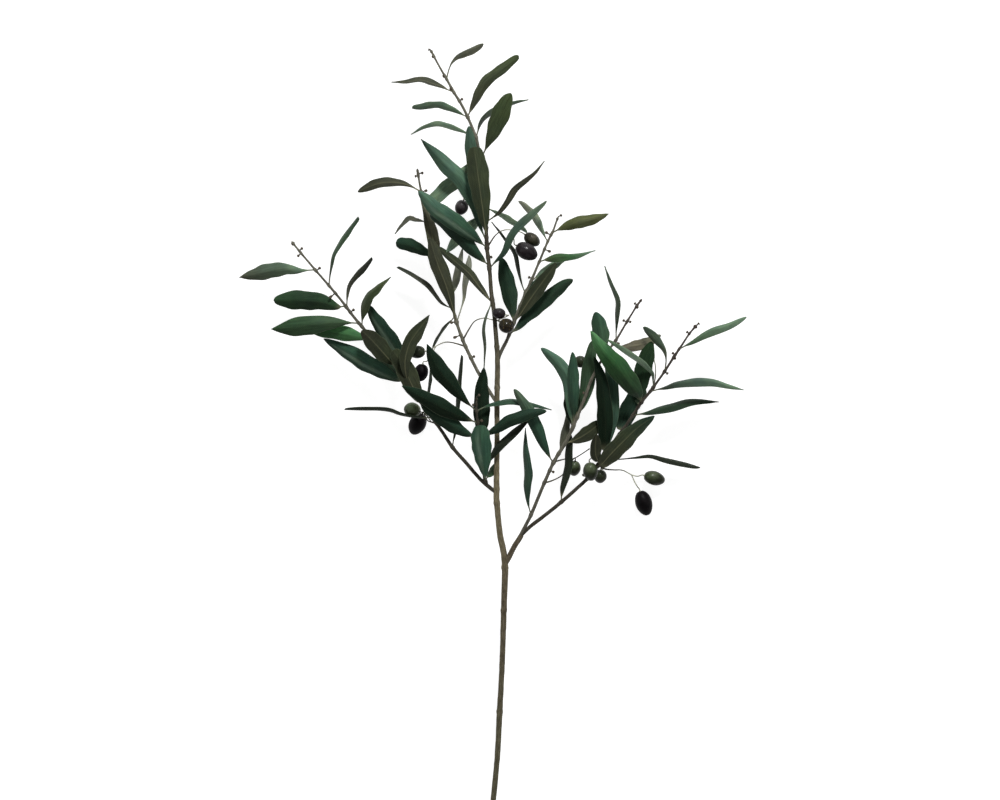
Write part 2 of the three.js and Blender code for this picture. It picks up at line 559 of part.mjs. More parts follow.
// Round wood along part of a route; grow makes it thicker all round.
function roundWood(route, { from = 0, to = 1, sides = SHOOT_SIDES, step = SHOOT_STEP, grow = 0 } = {}) {
  const length = route.getLength() * (to - from);
  const steps = Math.max(2, Math.ceil(length / step));
  const rings = [];
  for (let i = 0; i <= steps; i += 1) {
    const t = THREE.MathUtils.lerp(from, to, i / steps);
    const centre = route.getPoint(t);
    const { across, upward } = sectionAxes(route, t);
    const radius = route.radiusAt(t) + grow;
    const ring = [];
    for (let j = 0; j < sides; j += 1) {
      const angle = (j / sides) * 2 * Math.PI;
      ring.push(
        centre.clone()
          .addScaledVector(across, radius * Math.cos(angle))
          .addScaledVector(upward, radius * Math.sin(angle)),
      );
    }
    rings.push(ring);
  }
  return skin(rings);
}

// How wide a leaf is at v, from the foot of its blade (0) to its tip (1), as a share of its full width:
// a quarter turn of a sine up to the widest place, and one down from it.
function leafOutline({ widest, foot, tip }, v) {
  if (v < widest) {
    return Math.sin((Math.PI / 2) * (v / widest)) ** foot;
  }
  return Math.cos((Math.PI / 2) * ((v - widest) / (1 - widest))) ** tip;
}

// A leaf is [form, width, roll at the root, roll at the tip, root, ...spine]. The root is the nearest
// place on the wood, each spine point rises from it, and a roll near 90 degrees turns the blade on edge.
function leafBlade(wood, [form, width, rootRoll, tipRoll, root, ...spine]) {
  const base = wood.getPoint(wood.nearestTo(root));
  const points = spine.map(([x, y, rise]) => new THREE.Vector3(x, y, base.z + rise));
  const curve = new THREE.CatmullRomCurve3([base, ...points], false, 'catmullrom', 0.5);
  const length = curve.getLength();
  const petiole = PETIOLE_LENGTH / length;
  const wanted = Math.round(length / LEAF_STEP);
  const steps = THREE.MathUtils.clamp(wanted, LEAF_MIN_STEPS, LEAF_MAX_STEPS);
  const rings = [];
  for (let i = -1; i <= steps; i += 1) {
    const v = Math.max(i, 0) / steps;
    const u = i < 0 ? 0 : petiole + (1 - petiole) * v;
    const t = curve.getUtoTmapping(u);
    const centre = curve.getPoint(t);
    const { across, upward } = sectionAxes(curve, t);
    const roll = THREE.MathUtils.degToRad(THREE.MathUtils.lerp(rootRoll, tipRoll, u));
    const side = across.clone().multiplyScalar(Math.cos(roll)).addScaledVector(upward, Math.sin(roll));
    const face = upward.clone().multiplyScalar(Math.cos(roll)).addScaledVector(across, -Math.sin(roll));
    const blade = (width / 2) * leafOutline(LEAF_FORMS[form], Math.min(v, LEAF_END));
    const narrowest = THREE.MathUtils.lerp(PETIOLE_WIDTH / 2, LEAF_TIP_WIDTH / 2, v);
    const half = Math.max(blade, narrowest);
    const edgeOut = half * Math.cos(LEAF_DROOP);
    const edgeDown = (half - narrowest) * Math.sin(LEAF_DROOP);
    const at = (out, rise) => centre.clone().addScaledVector(side, out).addScaledVector(face, rise);
    const thick = LEAF_THICKNESS / 2;
    rings.push([
      at(edgeOut, thick - edgeDown),
      at(0, thick),
      at(-edgeOut, thick - edgeDown),
      at(-edgeOut, -thick - edgeDown),
      at(0, -thick),
      at(edgeOut, -thick - edgeDown),
    ]);
  }
  return skin(rings, 3);
}

// A short bud spur from the wood to a place beside it.
function budSpur(wood, [x, y, height]) {
  const base = wood.getPoint(wood.nearestTo([x, y]));
  const tip = new THREE.Vector3(x, y, height);
  const middle = base.clone().lerp(tip, 0.5);
  const route = new Route([
    [...base, SPUR_RADIUS],
    [...middle, SPUR_RADIUS],
    [...tip, SPUR_TIP_RADIUS],
  ]);
  return roundWood(route, { sides: STALK_SIDES, step: STALK_STEP });
}

// Where a fruit's stalk ends, just clear of the dimple in the fruit.
function stalkSeat([long, , centre, direction], clear) {
  const axis = new THREE.Vector3(...direction).normalize();
  return new THREE.Vector3(...centre).addScaledVector(axis, long / 2 - OLIVE_DIMPLE + clear);
}

// A fruit stalk is [fruit, start, ...points], with no fruit where it has dropped. Its start is on the
// wood, or has a height of its own where it forks from another stalk.
function fruitStalk(wood, [fruit, start, ...points]) {
  const onWood = start.length === 2;
  const first = onWood ? wood.getPoint(wood.nearestTo(start)) : new THREE.Vector3(...start);
  const places = [first, ...points.map((point) => new THREE.Vector3(...point))];
  if (fruit) {
    places.push(stalkSeat(OLIVES[fruit], SEAT_GAP + STALK_APPROACH));
    places.push(stalkSeat(OLIVES[fruit], SEAT_GAP));
  }
  const rootRadius = onWood ? STALK_ROOT_RADIUS : STALK_END_RADIUS;
  const rows = places.map((place, i) => {
    const radius = THREE.MathUtils.lerp(rootRadius, STALK_END_RADIUS, i / (places.length - 1));
    return [...place, radius];
  });
  return roundWood(new Route(rows), { sides: STALK_SIDES, step: STALK_STEP });
}

// An olive: a long round body with a dimple at its stalk end, turned about its own axis.
function oliveGeometry([long, width]) {
  const profile = [];
  for (let i = 0; i <= OLIVE_RINGS; i += 1) {
    const angle = THREE.MathUtils.lerp(Math.PI, OLIVE_RIM_ANGLE, i / OLIVE_RINGS);
    const radius = i === 0 ? 0 : (width / 2) * Math.sin(angle);
    profile.push(new THREE.Vector2(radius, (long / 2) * Math.cos(angle)));
  }
  profile.push(new THREE.Vector2(0, long / 2 - OLIVE_DIMPLE));
  return new THREE.LatheGeometry(profile, OLIVE_SIDES);
}

// Solids are joined and cut by manifold-3d, from meshes whose shared vertices are merged.

const wasm = await Module();
wasm.setup();

function solidOf(geometry) {
  geometry.deleteAttribute('normal');
  geometry.deleteAttribute('uv');
  const merged = mergeVertices(geometry);
  return new wasm.Manifold(new wasm.Mesh({
    numProp: 3,
    vertProperties: merged.attributes.position.array,
    triVerts: Uint32Array.from(merged.index.array),
  }));
}

function geometryOf(solid) {
  const { vertProperties, triVerts } = solid.getMesh();
  const geometry = new THREE.BufferGeometry();
  geometry.setAttribute('position', new THREE.BufferAttribute(vertProperties, 3));
  geometry.setIndex(new THREE.BufferAttribute(triVerts, 1));
  geometry.computeVertexNormals();
  return geometry;
}

function joined(geometries) {
  return geometries.map(solidOf).reduce((sum, solid) => sum.add(solid));
}

function piece(name, geometry, colour, roughness) {
  const material = new THREE.MeshStandardMaterial({ color: colour, roughness, metalness: 0 });
  const mesh = new THREE.Mesh(geometry, material);
  mesh.name = name;
  return mesh;
}

// The bare stem: the main axis up to the leader, with the arm to the right of the first fork. Its cut
// end rests on a flat under the first stretch of the stem.

const mainAxis = new Route(MAIN_AXIS);
const rightArm = new Route(RIGHT_ARM);
const leaderStart = LEADER_START / (MAIN_AXIS.length - 1);

function stemWood(grow) {
  return joined([
    roundWood(mainAxis, { to: leaderStart, sides: STEM_SIDES, step: STEM_STEP, grow }),
    roundWood(rightArm, { sides: STEM_SIDES, step: STEM_STEP, grow }),
  ]);
}

function mainStem() {
  const table = new THREE.BoxGeometry(...BELOW_TABLE).translate(0, 0, -BELOW_TABLE[2] / 2);
  return stemWood(0).subtract(solidOf(table));
}

// A leafy shoot: its wood, leaves, bud spurs and fruit stalks in one body.
function leafyShoot(wood, from, { leaves, spurs, stalks }) {
  return joined([
    roundWood(wood, { from }),
    ...leaves.map((leaf) => leafBlade(wood, leaf)),
    ...spurs.map((spot) => budSpur(wood, spot)),
    ...stalks.map((stalk) => fruitStalk(wood, stalk)),
  ]);
}

const branch = new THREE.Group();
const keepClear = { main_stem: stemWood(GAP) };

branch.add(piece('main_stem', geometryOf(mainStem()), COLOURS.bark, ROUGHNESS.bark));

const leaderGap = GAP / mainAxis.getLength();
const leader = leafyShoot(mainAxis, leaderStart + leaderGap, LEADER);
branch.add(piece('leader', geometryOf(leader), COLOURS.leaf, ROUGHNESS.leaf));

for (const [name, shoot] of Object.entries(SHOOTS)) {
  const wood = new Route(shoot.route);
  keepClear[name] = solidOf(roundWood(wood, { grow: GAP }));
  const grown = leafyShoot(wood, 0, shoot);
  const body = shoot.growsFrom.reduce((rest, parent) => rest.subtract(keepClear[parent]), grown);
  branch.add(piece(name, geometryOf(body), COLOURS.leaf, ROUGHNESS.leaf));
}

for (const [name, row] of Object.entries(OLIVES)) {
  const [, , centre, direction, colour] = row;
  const olive = piece(name, oliveGeometry(row), COLOURS[colour], ROUGHNESS.olive);
  olive.position.set(...centre);
  const axis = new THREE.Vector3(...direction).normalize();
  olive.quaternion.setFromUnitVectors(LATHE_AXIS, axis);
  branch.add(olive);
}

export default branch;
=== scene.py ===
import bpy
import numpy as np
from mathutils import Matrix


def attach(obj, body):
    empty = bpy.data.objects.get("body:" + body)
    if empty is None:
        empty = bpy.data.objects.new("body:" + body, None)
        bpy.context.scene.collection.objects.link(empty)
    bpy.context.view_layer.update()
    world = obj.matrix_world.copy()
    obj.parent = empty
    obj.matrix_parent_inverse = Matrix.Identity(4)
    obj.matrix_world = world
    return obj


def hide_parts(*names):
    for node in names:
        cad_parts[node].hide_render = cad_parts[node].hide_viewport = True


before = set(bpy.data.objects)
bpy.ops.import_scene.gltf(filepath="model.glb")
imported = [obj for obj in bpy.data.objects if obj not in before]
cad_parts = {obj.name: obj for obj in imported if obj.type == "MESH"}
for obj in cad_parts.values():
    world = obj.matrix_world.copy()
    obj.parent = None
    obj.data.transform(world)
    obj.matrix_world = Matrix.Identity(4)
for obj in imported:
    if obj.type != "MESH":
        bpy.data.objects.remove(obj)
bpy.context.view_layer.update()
mm = 0.001  # the tables below are in millimetres
fullTurn = 2 * np.pi


def linear(*screen):
    # a screen colour, 0 to 255, as the linear colour that a shader wants
    share = np.array(screen) / 255
    return np.where(share <= 0.04045, share / 12.92, ((share + 0.055) / 1.055) ** 2.4)


def linearTones(table):
    return {name: linear(*screen) for name, screen in table.items()}


def ease(low, high, x):
    # 0 below low, 1 above high, and three squares less two cubes of the share between them
    share = np.clip((x - low) / (high - low), 0, 1)
    return share * share * (3 - 2 * share)


def addObject(name, data, place=(0, 0, 0)):
    made = bpy.data.objects.new(name, data)
    bpy.context.scene.collection.objects.link(made)
    made.location = place
    return made


class Nodes:
    # adds nodes: a number or colour for a socket is set on it, another node's output is wired to it

    def __init__(self, tree):
        self.tree = tree

    def feed(self, socket, value):
        if isinstance(value, bpy.types.NodeSocket):
            self.tree.links.new(value, socket)
        else:
            socket.default_value = value

    def add(self, kind, values, **settings):
        made = self.tree.nodes.new(kind)
        for key, value in settings.items():
            setattr(made, key, value)
        for socket, value in values.items():
            self.feed(made.inputs[socket], value)
        return made.outputs

    def work(self, operation, *values):
        return self.add("ShaderNodeMath", dict(enumerate(values)), operation=operation)[0]

    def mix(self, share, first, second, blend="MIX"):
        values = {0: share, 6: first, 7: second}
        return self.add("ShaderNodeMix", values, data_type="RGBA", blend_type=blend)[2]

    def clouded(self, body, mask, share, dark, light):
        # the body times a colour that goes from dark to light with the mask
        return self.mix(share, body, self.mix(mask, (*dark, 1), (*light, 1)), "MULTIPLY")

    def ramp(self, value, low, high, atLow, atHigh, smooth="LINEAR"):
        values = {"Value": value, "From Min": low, "From Max": high, "To Min": atLow, "To Max": atHigh}
        return self.add("ShaderNodeMapRange", values, interpolation_type=smooth)["Result"]

    def mask(self, group, place, stretch=None, **values):
        if stretch:
            place = self.add("ShaderNodeMapping", {"Vector": place, "Scale": stretch})["Vector"]
        return self.add("ShaderNodeGroup", {"Place": place, **values}, node_tree=group)["Mask"]

    def axes(self, vector):
        return self.add("ShaderNodeSeparateXYZ", {0: vector})


def newMaterial(name):
    material = bpy.data.materials.new(name)
    material.use_nodes = True
    return material, material.node_tree.nodes["Principled BSDF"].inputs


# Camera, floor and light.

view = {"middle": (0.012, 0.462, 0.045), "above": 8.0, "lens": 288, "sensor": 36}  # looks straight down
camera = addObject("viewpoint", bpy.data.cameras.new("viewpoint"), view["middle"])
camera.location.z += view["above"]
camera.data.lens = view["lens"]
camera.data.sensor_width = view["sensor"]
bpy.context.scene.camera = camera
bpy.context.scene.view_settings.view_transform = "Standard"

floor = {"half": 6.0, "drop": 0.0003, "colour": (0.4, 0.4, 0.397, 1), "roughness": 0.9, "glow": 0.88}
floorCorners = np.array([(-1, -1, 0), (1, -1, 0), (1, 1, 0), (-1, 1, 0)]) * floor["half"]
floorMesh = bpy.data.meshes.new("floor")
floorMesh.from_pydata(floorCorners - (0, 0, floor["drop"]), [], [(0, 1, 2, 3)])
floorFinish, floorShader = newMaterial("paleFloor")
floorShader["Base Color"].default_value = floor["colour"]
floorShader["Roughness"].default_value = floor["roughness"]
floorShader["Emission Color"].default_value = (1, 1, 1, 1)
floorShader["Emission Strength"].default_value = floor["glow"]
floorMesh.materials.append(floorFinish)
addObject("floor", floorMesh)

light = {
    "horizon": 0.6,  # strength of the white sky at the horizon, and from highSky up to overhead
    "overhead": 0.1,
    "highSky": 0.75,
    "lamps": [  # place, size and watts, all aimed at the table below the camera
        ((0.5, 2.7, 2.3), 0.55, 80),
        ((-2.8, 0.6, 2.2), 2.4, 18),
        ((2.8, 0.9, 2.4), 2.4, 14),
        ((0.3, -2.3, 2.4), 2.4, 8),
    ],
}
sky = bpy.data.worlds.new("softSky")
sky.use_nodes = True
skyNodes = Nodes(sky.node_tree)
height = skyNodes.axes(skyNodes.add("ShaderNodeTexCoord", {})["Generated"])["Z"]
strength = skyNodes.ramp(height, 0.0, light["highSky"], light["horizon"], light["overhead"])
background = sky.node_tree.nodes["Background"].inputs
skyNodes.feed(background["Strength"], strength)
skyNodes.feed(background["Color"], (1, 1, 1, 1))
bpy.context.scene.world = sky
aim = camera.location.copy()
aim.z = 0
for number, (place, size, watts) in enumerate(light["lamps"]):
    lamp = bpy.data.lights.new(f"lamp{number}", "AREA")
    lamp.size = size
    lamp.energy = watts
    lampObject = addObject(lamp.name, lamp, place)
    lampObject.rotation_euler = (aim - lampObject.location).to_track_quat("-Z", "Y").to_euler()
print("camera, floor and light are set")

# The tables, in mm. A route is rows of x, y, height and radius. A leaf is its tones from foot to tip,
# with a star for a painted sheen (a pale streak standing in for a highlight), its form, width, roll at the
# root and at the tip, root, and spine, whose points rise from the root; a roll over 90 shows the
# underside.
# A spur is its tip. A stalk is its olive, its start, which has a height only where another stalk carries
# it, and the points that it passes.

mainAxis = [  # the stem and its leader
    (-2, -23, 2.2, 2.8), (0, 0, 2.2, 2.8), (2, 24, 2.6, 2.8), (5.5, 62, 5, 2.8), (9.5, 106, 9, 2.8),
    (11.5, 146, 13, 3), (13, 173, 15.5, 2.8), (14.5, 206, 18.5, 2.8), (16, 256, 23, 3),
    (17, 294, 26.5, 3.3), (15, 313, 28.5, 3.2), (12, 327, 30, 3), (9, 357, 33.5, 3), (8.5, 371, 35, 3),
    (9, 422, 40, 2.6), (9, 462, 43.5, 2.7), (9.5, 502, 46.5, 2.6), (7.5, 532, 48.5, 2.2),
    (6, 550, 49.5, 2.1), (3.5, 567, 50.5, 2.1), (2, 587, 51.5, 2), (0.5, 602, 52, 1.9),
    (-1, 614, 52.5, 2), (-2, 640, 53.5, 1.8), (-3, 662, 54, 1.7), (-4, 682, 54.5, 1.6),
    (-5, 704, 55, 1.7), (-9, 712, 55, 1.5), (-12, 724, 55, 1.6), (-20, 744, 54.5, 1.4),
    (-27, 758, 54, 1.3), (-34.5, 770, 53, 1.3), (-41, 782, 52, 1.2), (-49, 796, 51, 1),
    (-57.5, 812, 50, 1),
]
mainSpans = len(mainAxis) - 1
stemKnots = np.array([5.1, 7.9, 9, 12.1, 13.05, 15.3, 16.4]) / mainSpans
leaderStart = 17.2 / mainSpans
rightArm = [(17, 296, 27, 2), (21, 304.5, 28, 2.8), (26, 314.5, 29, 2.7), (33.5, 326.5, 30, 2.6)]

leader = {
    "node": "leader",
    "route": mainAxis,
    "start": leaderStart,
    "wood": ("stemHigh", "twigKnot", "twigPale", "twigPale"),
    "stalk": "stalkPale",
    "leaves": [
        ("paleGrey", "stalked", 12, 132, 124, (-40.5, 783), (-39, 792, 4), (-35.5, 799.5, 8),
         (-29, 805.5, 10), (-17, 811, 10), (-4.5, 817.5, 8)),
        ("greyBrown brown", "lance", 13, 125, 118, (-34.5, 769), (-47.5, 775, 2), (-58, 778.5, 4),
         (-67.5, 781, 6), (-82, 779, 4), (-96.5, 779.5, 2)),
        ("paleGreen greyGreen", "strap", 10.5, 50, 45, (-21, 744), (-30.5, 749.5, -2), (-39, 753, -3),
         (-48, 756, -5), (-57, 756, -6), (-67, 754.5, -7), (-76, 754, -9)),
        ("greyBrown oliveGreen", "strap", 11.5, 15, 10, (-20, 745), (-13.5, 760, 7), (-8, 771, 12),
         (-1, 781, 14), (10, 789.5, 14), (21, 798, 13), (30.5, 805.5, 12)),
        ("paleGreen mist greyGreen", "lance", 10, 58, 55, (-13, 725), (-23, 729, -1), (-33, 732.5, -2),
         (-42, 735.5, -3), (-51, 737, -3), (-64, 734, -5), (-77, 727.5, -8)),
        ("darkGrey greyGreen", "lance", 12, -62, -58, (-12, 724), (-7.5, 738, -8), (-1, 745.5, -12),
         (12, 753.5, -19), (26, 759, -24), (40.5, 763, -28)),
        ("brownOlive oliveGreen", "spoon", 19, 8, -8, (-5, 706), (0.5, 719, 5), (6.5, 732.5, 8),
         (12.5, 746.5, 11), (17.5, 758, 12), (23, 768, 12)),
        ("paleGrey", "lance", 12, 60, 55, (-4.5, 701), (-3.5, 688, -9), (-2.5, 676, -14), (-1, 662, -18)),
        ("teal", "oblong", 14.5, 12, 8, (-3.5, 657), (-8.5, 675, 2), (-15, 702, 5), (-18, 720, 5),
         (-19, 735.5, 3)),
        ("brownOlive", "club", 22, 174, 168, (-2, 624), (-4.5, 647, 10), (-8.5, 675, 16),
         (-11.5, 697, 16), (-14, 714.5, 15)),
        ("teal tealPale tealPale tealDark", "late", 17, -12, -8, (-1.5, 619), (-8.5, 638, 4),
         (-14.5, 659.5, 7), (-27, 682, 10), (-41.5, 696.5, 10), (-67, 722.5, 6)),
        ("mist paleGreen paleGreen", "strap", 16, 170, 168, (-5, 703), (-17, 694, -7), (-31, 682, -9),
         (-45, 670.5, -10), (-61, 655.5, -10)),
        ("tealDark tealMid tealPale*", "oblong", 18, 10, 5, (-1, 614), (-12, 623, 9), (-24, 632.5, 13),
         (-38, 643, 14), (-52, 652.5, 12), (-69.5, 670.5, 7)),
        ("tealDark tealDark teal", "strap", 15.5, 18, 10, (0.5, 596), (-10.5, 606.5, 3), (-22.5, 619, 5),
         (-35.5, 632, 5), (-46, 641, 3), (-57.5, 648.5, 0)),
        ("brown greyBrown", "lance", 10, 135, 128, (-2, 639.5), (10, 648.5, 3), (18, 659, 7),
         (25, 671, 9), (36, 680.5, 10), (46.5, 689, 9), (56.5, 700.5, 8)),
        ("mist", "oblong", 12, -62, -57, (-2.5, 655), (8, 649, -5), (18, 643, -9), (28.5, 636.5, -13),
         (39, 629.5, -18)),
        ("tealDark teal greyGreen", "oblong", 12, 48, 42, (1.5, 593), (8, 601, 6), (15.5, 610, 12),
         (22.5, 626, 17), (30, 636, 19), (44, 648.5, 18), (58.5, 660.5, 15)),
        ("mist", "almond", 15, 32, 28, (-2.5, 649), (-16, 636, -7), (-30, 622, -10), (-42, 609, -12)),
        ("greyGreen greyBrown", "lance", 12, 106, 102, (4, 562), (-3, 537, 3), (-2, 517, 5),
         (-4, 494, 6)),
        ("brown brownOlive", "strap", 9.5, 165, 162, (4, 558), (-9, 575.5, -4), (-19.5, 589, -6.5),
         (-33, 600.5, -7.5), (-50, 614.5, -7.5)),
        ("darkGreen", "oblong", 15, 10, 15, (-2, 634), (-6, 657, -20), (-9, 677, -38), (-12, 697, -52.1)),
    ],
    "spurs": [
        (-45, 785, 53), (-25, 763, 56), (-56, 804.5, 51), (4.5, 605, 53), (-37.5, 772.5, 55),
        (-59.5, 812, 51),
    ],
    "stalks": [
        ("olive_01", (-2.5, 646), (-10, 654, 51), (-17, 662.5, 49.5)),
        ("olive_02", (-1, 614), (7, 626, 53.5), (15, 631.5, 52), (24, 632, 49), (31, 630.5, 46)),
        ("olive_03", (24, 632, 49), (25, 626, 51), (26, 622, 52)),
    ],
}

leftInnerShoot = {
    "node": "left_inner_shoot",
    "route": [
        (9, 459, 43.3, 1.6), (3, 468, 41.5, 1.8), (-10, 490, 38, 1.7), (-18, 506, 35.5, 1.7),
        (-24, 519, 33.5, 1.7), (-31, 538, 31.5, 1.5), (-36, 557, 30, 1.4), (-42, 577, 29, 1.3),
        (-48, 600, 29, 1.3), (-54, 624, 29.5, 1.2), (-61, 650, 30.5, 1.1), (-67, 671, 31.5, 1.1),
        (-71, 694, 32.5, 0.9),
    ],
    "wood": ("twigPale", "twigPale", "twigPale"),
    "stalk": "stalkPale",
    "leaves": [
        ("greyBrown brown", "spoon", 11, 165, 160, (-67, 670.5), (-77, 676, 1), (-87, 679, 2),
         (-98, 680, 2), (-108, 679, 1.5), (-119, 675.5, -1), (-130.5, 670.5, -5)),
        ("khaki", "tapered", 13, 172, 168, (-50, 605), (-53.5, 617, 9), (-56.5, 629, 12),
         (-60.5, 646, 13), (-65, 658.5, 13), (-69, 668.5, 12)),
        ("brown", "spoon", 17, 172, 165, (-31, 540), (-36.5, 558, 8), (-42.5, 578, 15),
         (-50.5, 598, 18.5), (-58.5, 624, 19)),
        ("darkGreen tealDark", "club", 14, 16, 10, (-48, 605), (-59, 608.5, -4), (-69, 613, -6),
         (-78, 617, -8), (-92.5, 620, -11)),
        ("greyBrown", "lance", 13, 115, 110, (-61, 640), (-72.5, 641.5, -3), (-79, 642.5, -5),
         (-86.5, 636, -7), (-93.5, 628.5, -9)),
        ("greyBrown darkGrey", "strap", 12, 115, 112, (-37, 553), (-46.5, 558.5, 0), (-54, 567, -1),
         (-63.5, 578, -3), (-76.5, 586.5, -5), (-91.5, 595, -6)),
        ("paleGrey silver", "lance", 12, 50, 45, (-35, 562), (-33, 582, -8), (-28.5, 604, -11),
         (-25, 616, -12)),
        ("silver", "stalked", 12, 130, 125, (-30, 540), (-25, 561, -4), (-24, 578, -4), (-21, 594, -5),
         (-19, 607, -6)),
        ("darkGrey", "strap", 12, 104, 102, (-37.5, 545), (-46.5, 529, -6), (-55.5, 513, -10)),
        ("brown", "oblong", 15, 10, 15, (-41, 574), (-46, 586, -10), (-53, 600, -20), (-60, 612, -27)),
    ],
    "spurs": [
        (-64.5, 689.5, 33), (-73.5, 686, 33), (-60.5, 672, 32), (-35, 524, 33), (-38, 539, 32),
        (-13, 506, 38),
    ],
    "stalks": [
        ("olive_04", (-24, 515), (-36, 519.5, 38), (-44, 519.5, 39.5), (-52, 516, 38), (-58, 512, 35.5)),
        ("olive_05", (-52, 516, 38), (-57, 507, 38), (-61, 501, 36)),
        ("olive_07", (-25, 522), (-19, 533, 38), (-13, 541, 41), (-4, 544, 42), (3, 542.5, 42.5),
         (9, 541.5, 44), (11.5, 540, 50)),
        ("olive_06", (9, 541.5, 44), (15, 544, 49.5), (20.5, 546.5, 54.5)),
    ],
}

rightSmallShoot = {
    "node": "right_small_shoot",
    "route": [
        (9.5, 499, 46.3, 1.6), (12.5, 509, 47, 1.8), (19, 522, 47.5, 1.7), (25, 537, 48, 1.6),
        (32, 556, 48.5, 1.4), (39, 572, 49, 1.3), (44, 583, 49, 1.3), (52, 602, 49.5, 1.2),
        (60, 621, 50, 1.1), (65, 631, 50.5, 1), (70, 645, 51.5, 0.9),
    ],
    "wood": ("twigGrey", "twigPale", "twigPale"),
    "stalk": "stalkPale",
    "leaves": [
        ("mist silver", "oblong", 12, 52, 50, (60, 620), (53.5, 631.5, -5), (45.5, 645.5, -7),
         (38, 654, -8), (30.5, 661, -8)),
        ("olive", "almond", 13, 15, 12, (64.5, 629), (74, 634, 1), (87, 639, 3), (102, 642, 3),
         (112, 645, 2.5), (120.5, 648, 1)),
        ("oliveGreen brightGreen paleGreen", "tapered", 12, 38, 55, (52, 600), (60, 603, 1),
         (70, 605, 1.5), (81, 605.5, 1), (92, 607.5, -1), (107.5, 611.5, -6)),
        ("greyGreen paleGreen", "lance", 12, 42, 38, (44, 580), (57, 591.5, -8), (68, 598.5, -12),
         (79, 603.5, -15)),
        ("brown brownOlive", "oblong", 15, 170, 165, (26, 540), (31, 546, 4), (40.5, 560.5, 8),
         (51.5, 576, 11), (61, 589, 13), (68, 599, 13)),
        ("tealDark darkGreen", "oval", 14.5, 18, 12, (22, 527), (29, 534, -1), (38, 544, -2),
         (51, 556, -3), (64, 568, -4), (75, 577, -5), (85, 582.5, -6)),
        ("darkGreen tealDark", "oblong", 17, 10, 5, (25, 538), (24, 553, -6), (20.5, 572, -9),
         (16.5, 590, -10), (13, 604.5, -11)),
        ("darkGrey", "lance", 12, 72, 70, (38, 568), (32.5, 581, -8), (29, 594, -12), (26, 608, -15),
         (19.5, 618, -16), (11.5, 629.5, -16), (3.5, 640.5, -16)),
        ("darkGreen", "oblong", 14, 10, 20, (32, 556), (41, 568, -14), (49, 578, -27), (57, 587, -38)),
    ],
    "spurs": [(74, 647, 52), (57, 630, 51), (63, 610, 50), (40, 585, 50)],
    "stalks": [],
}

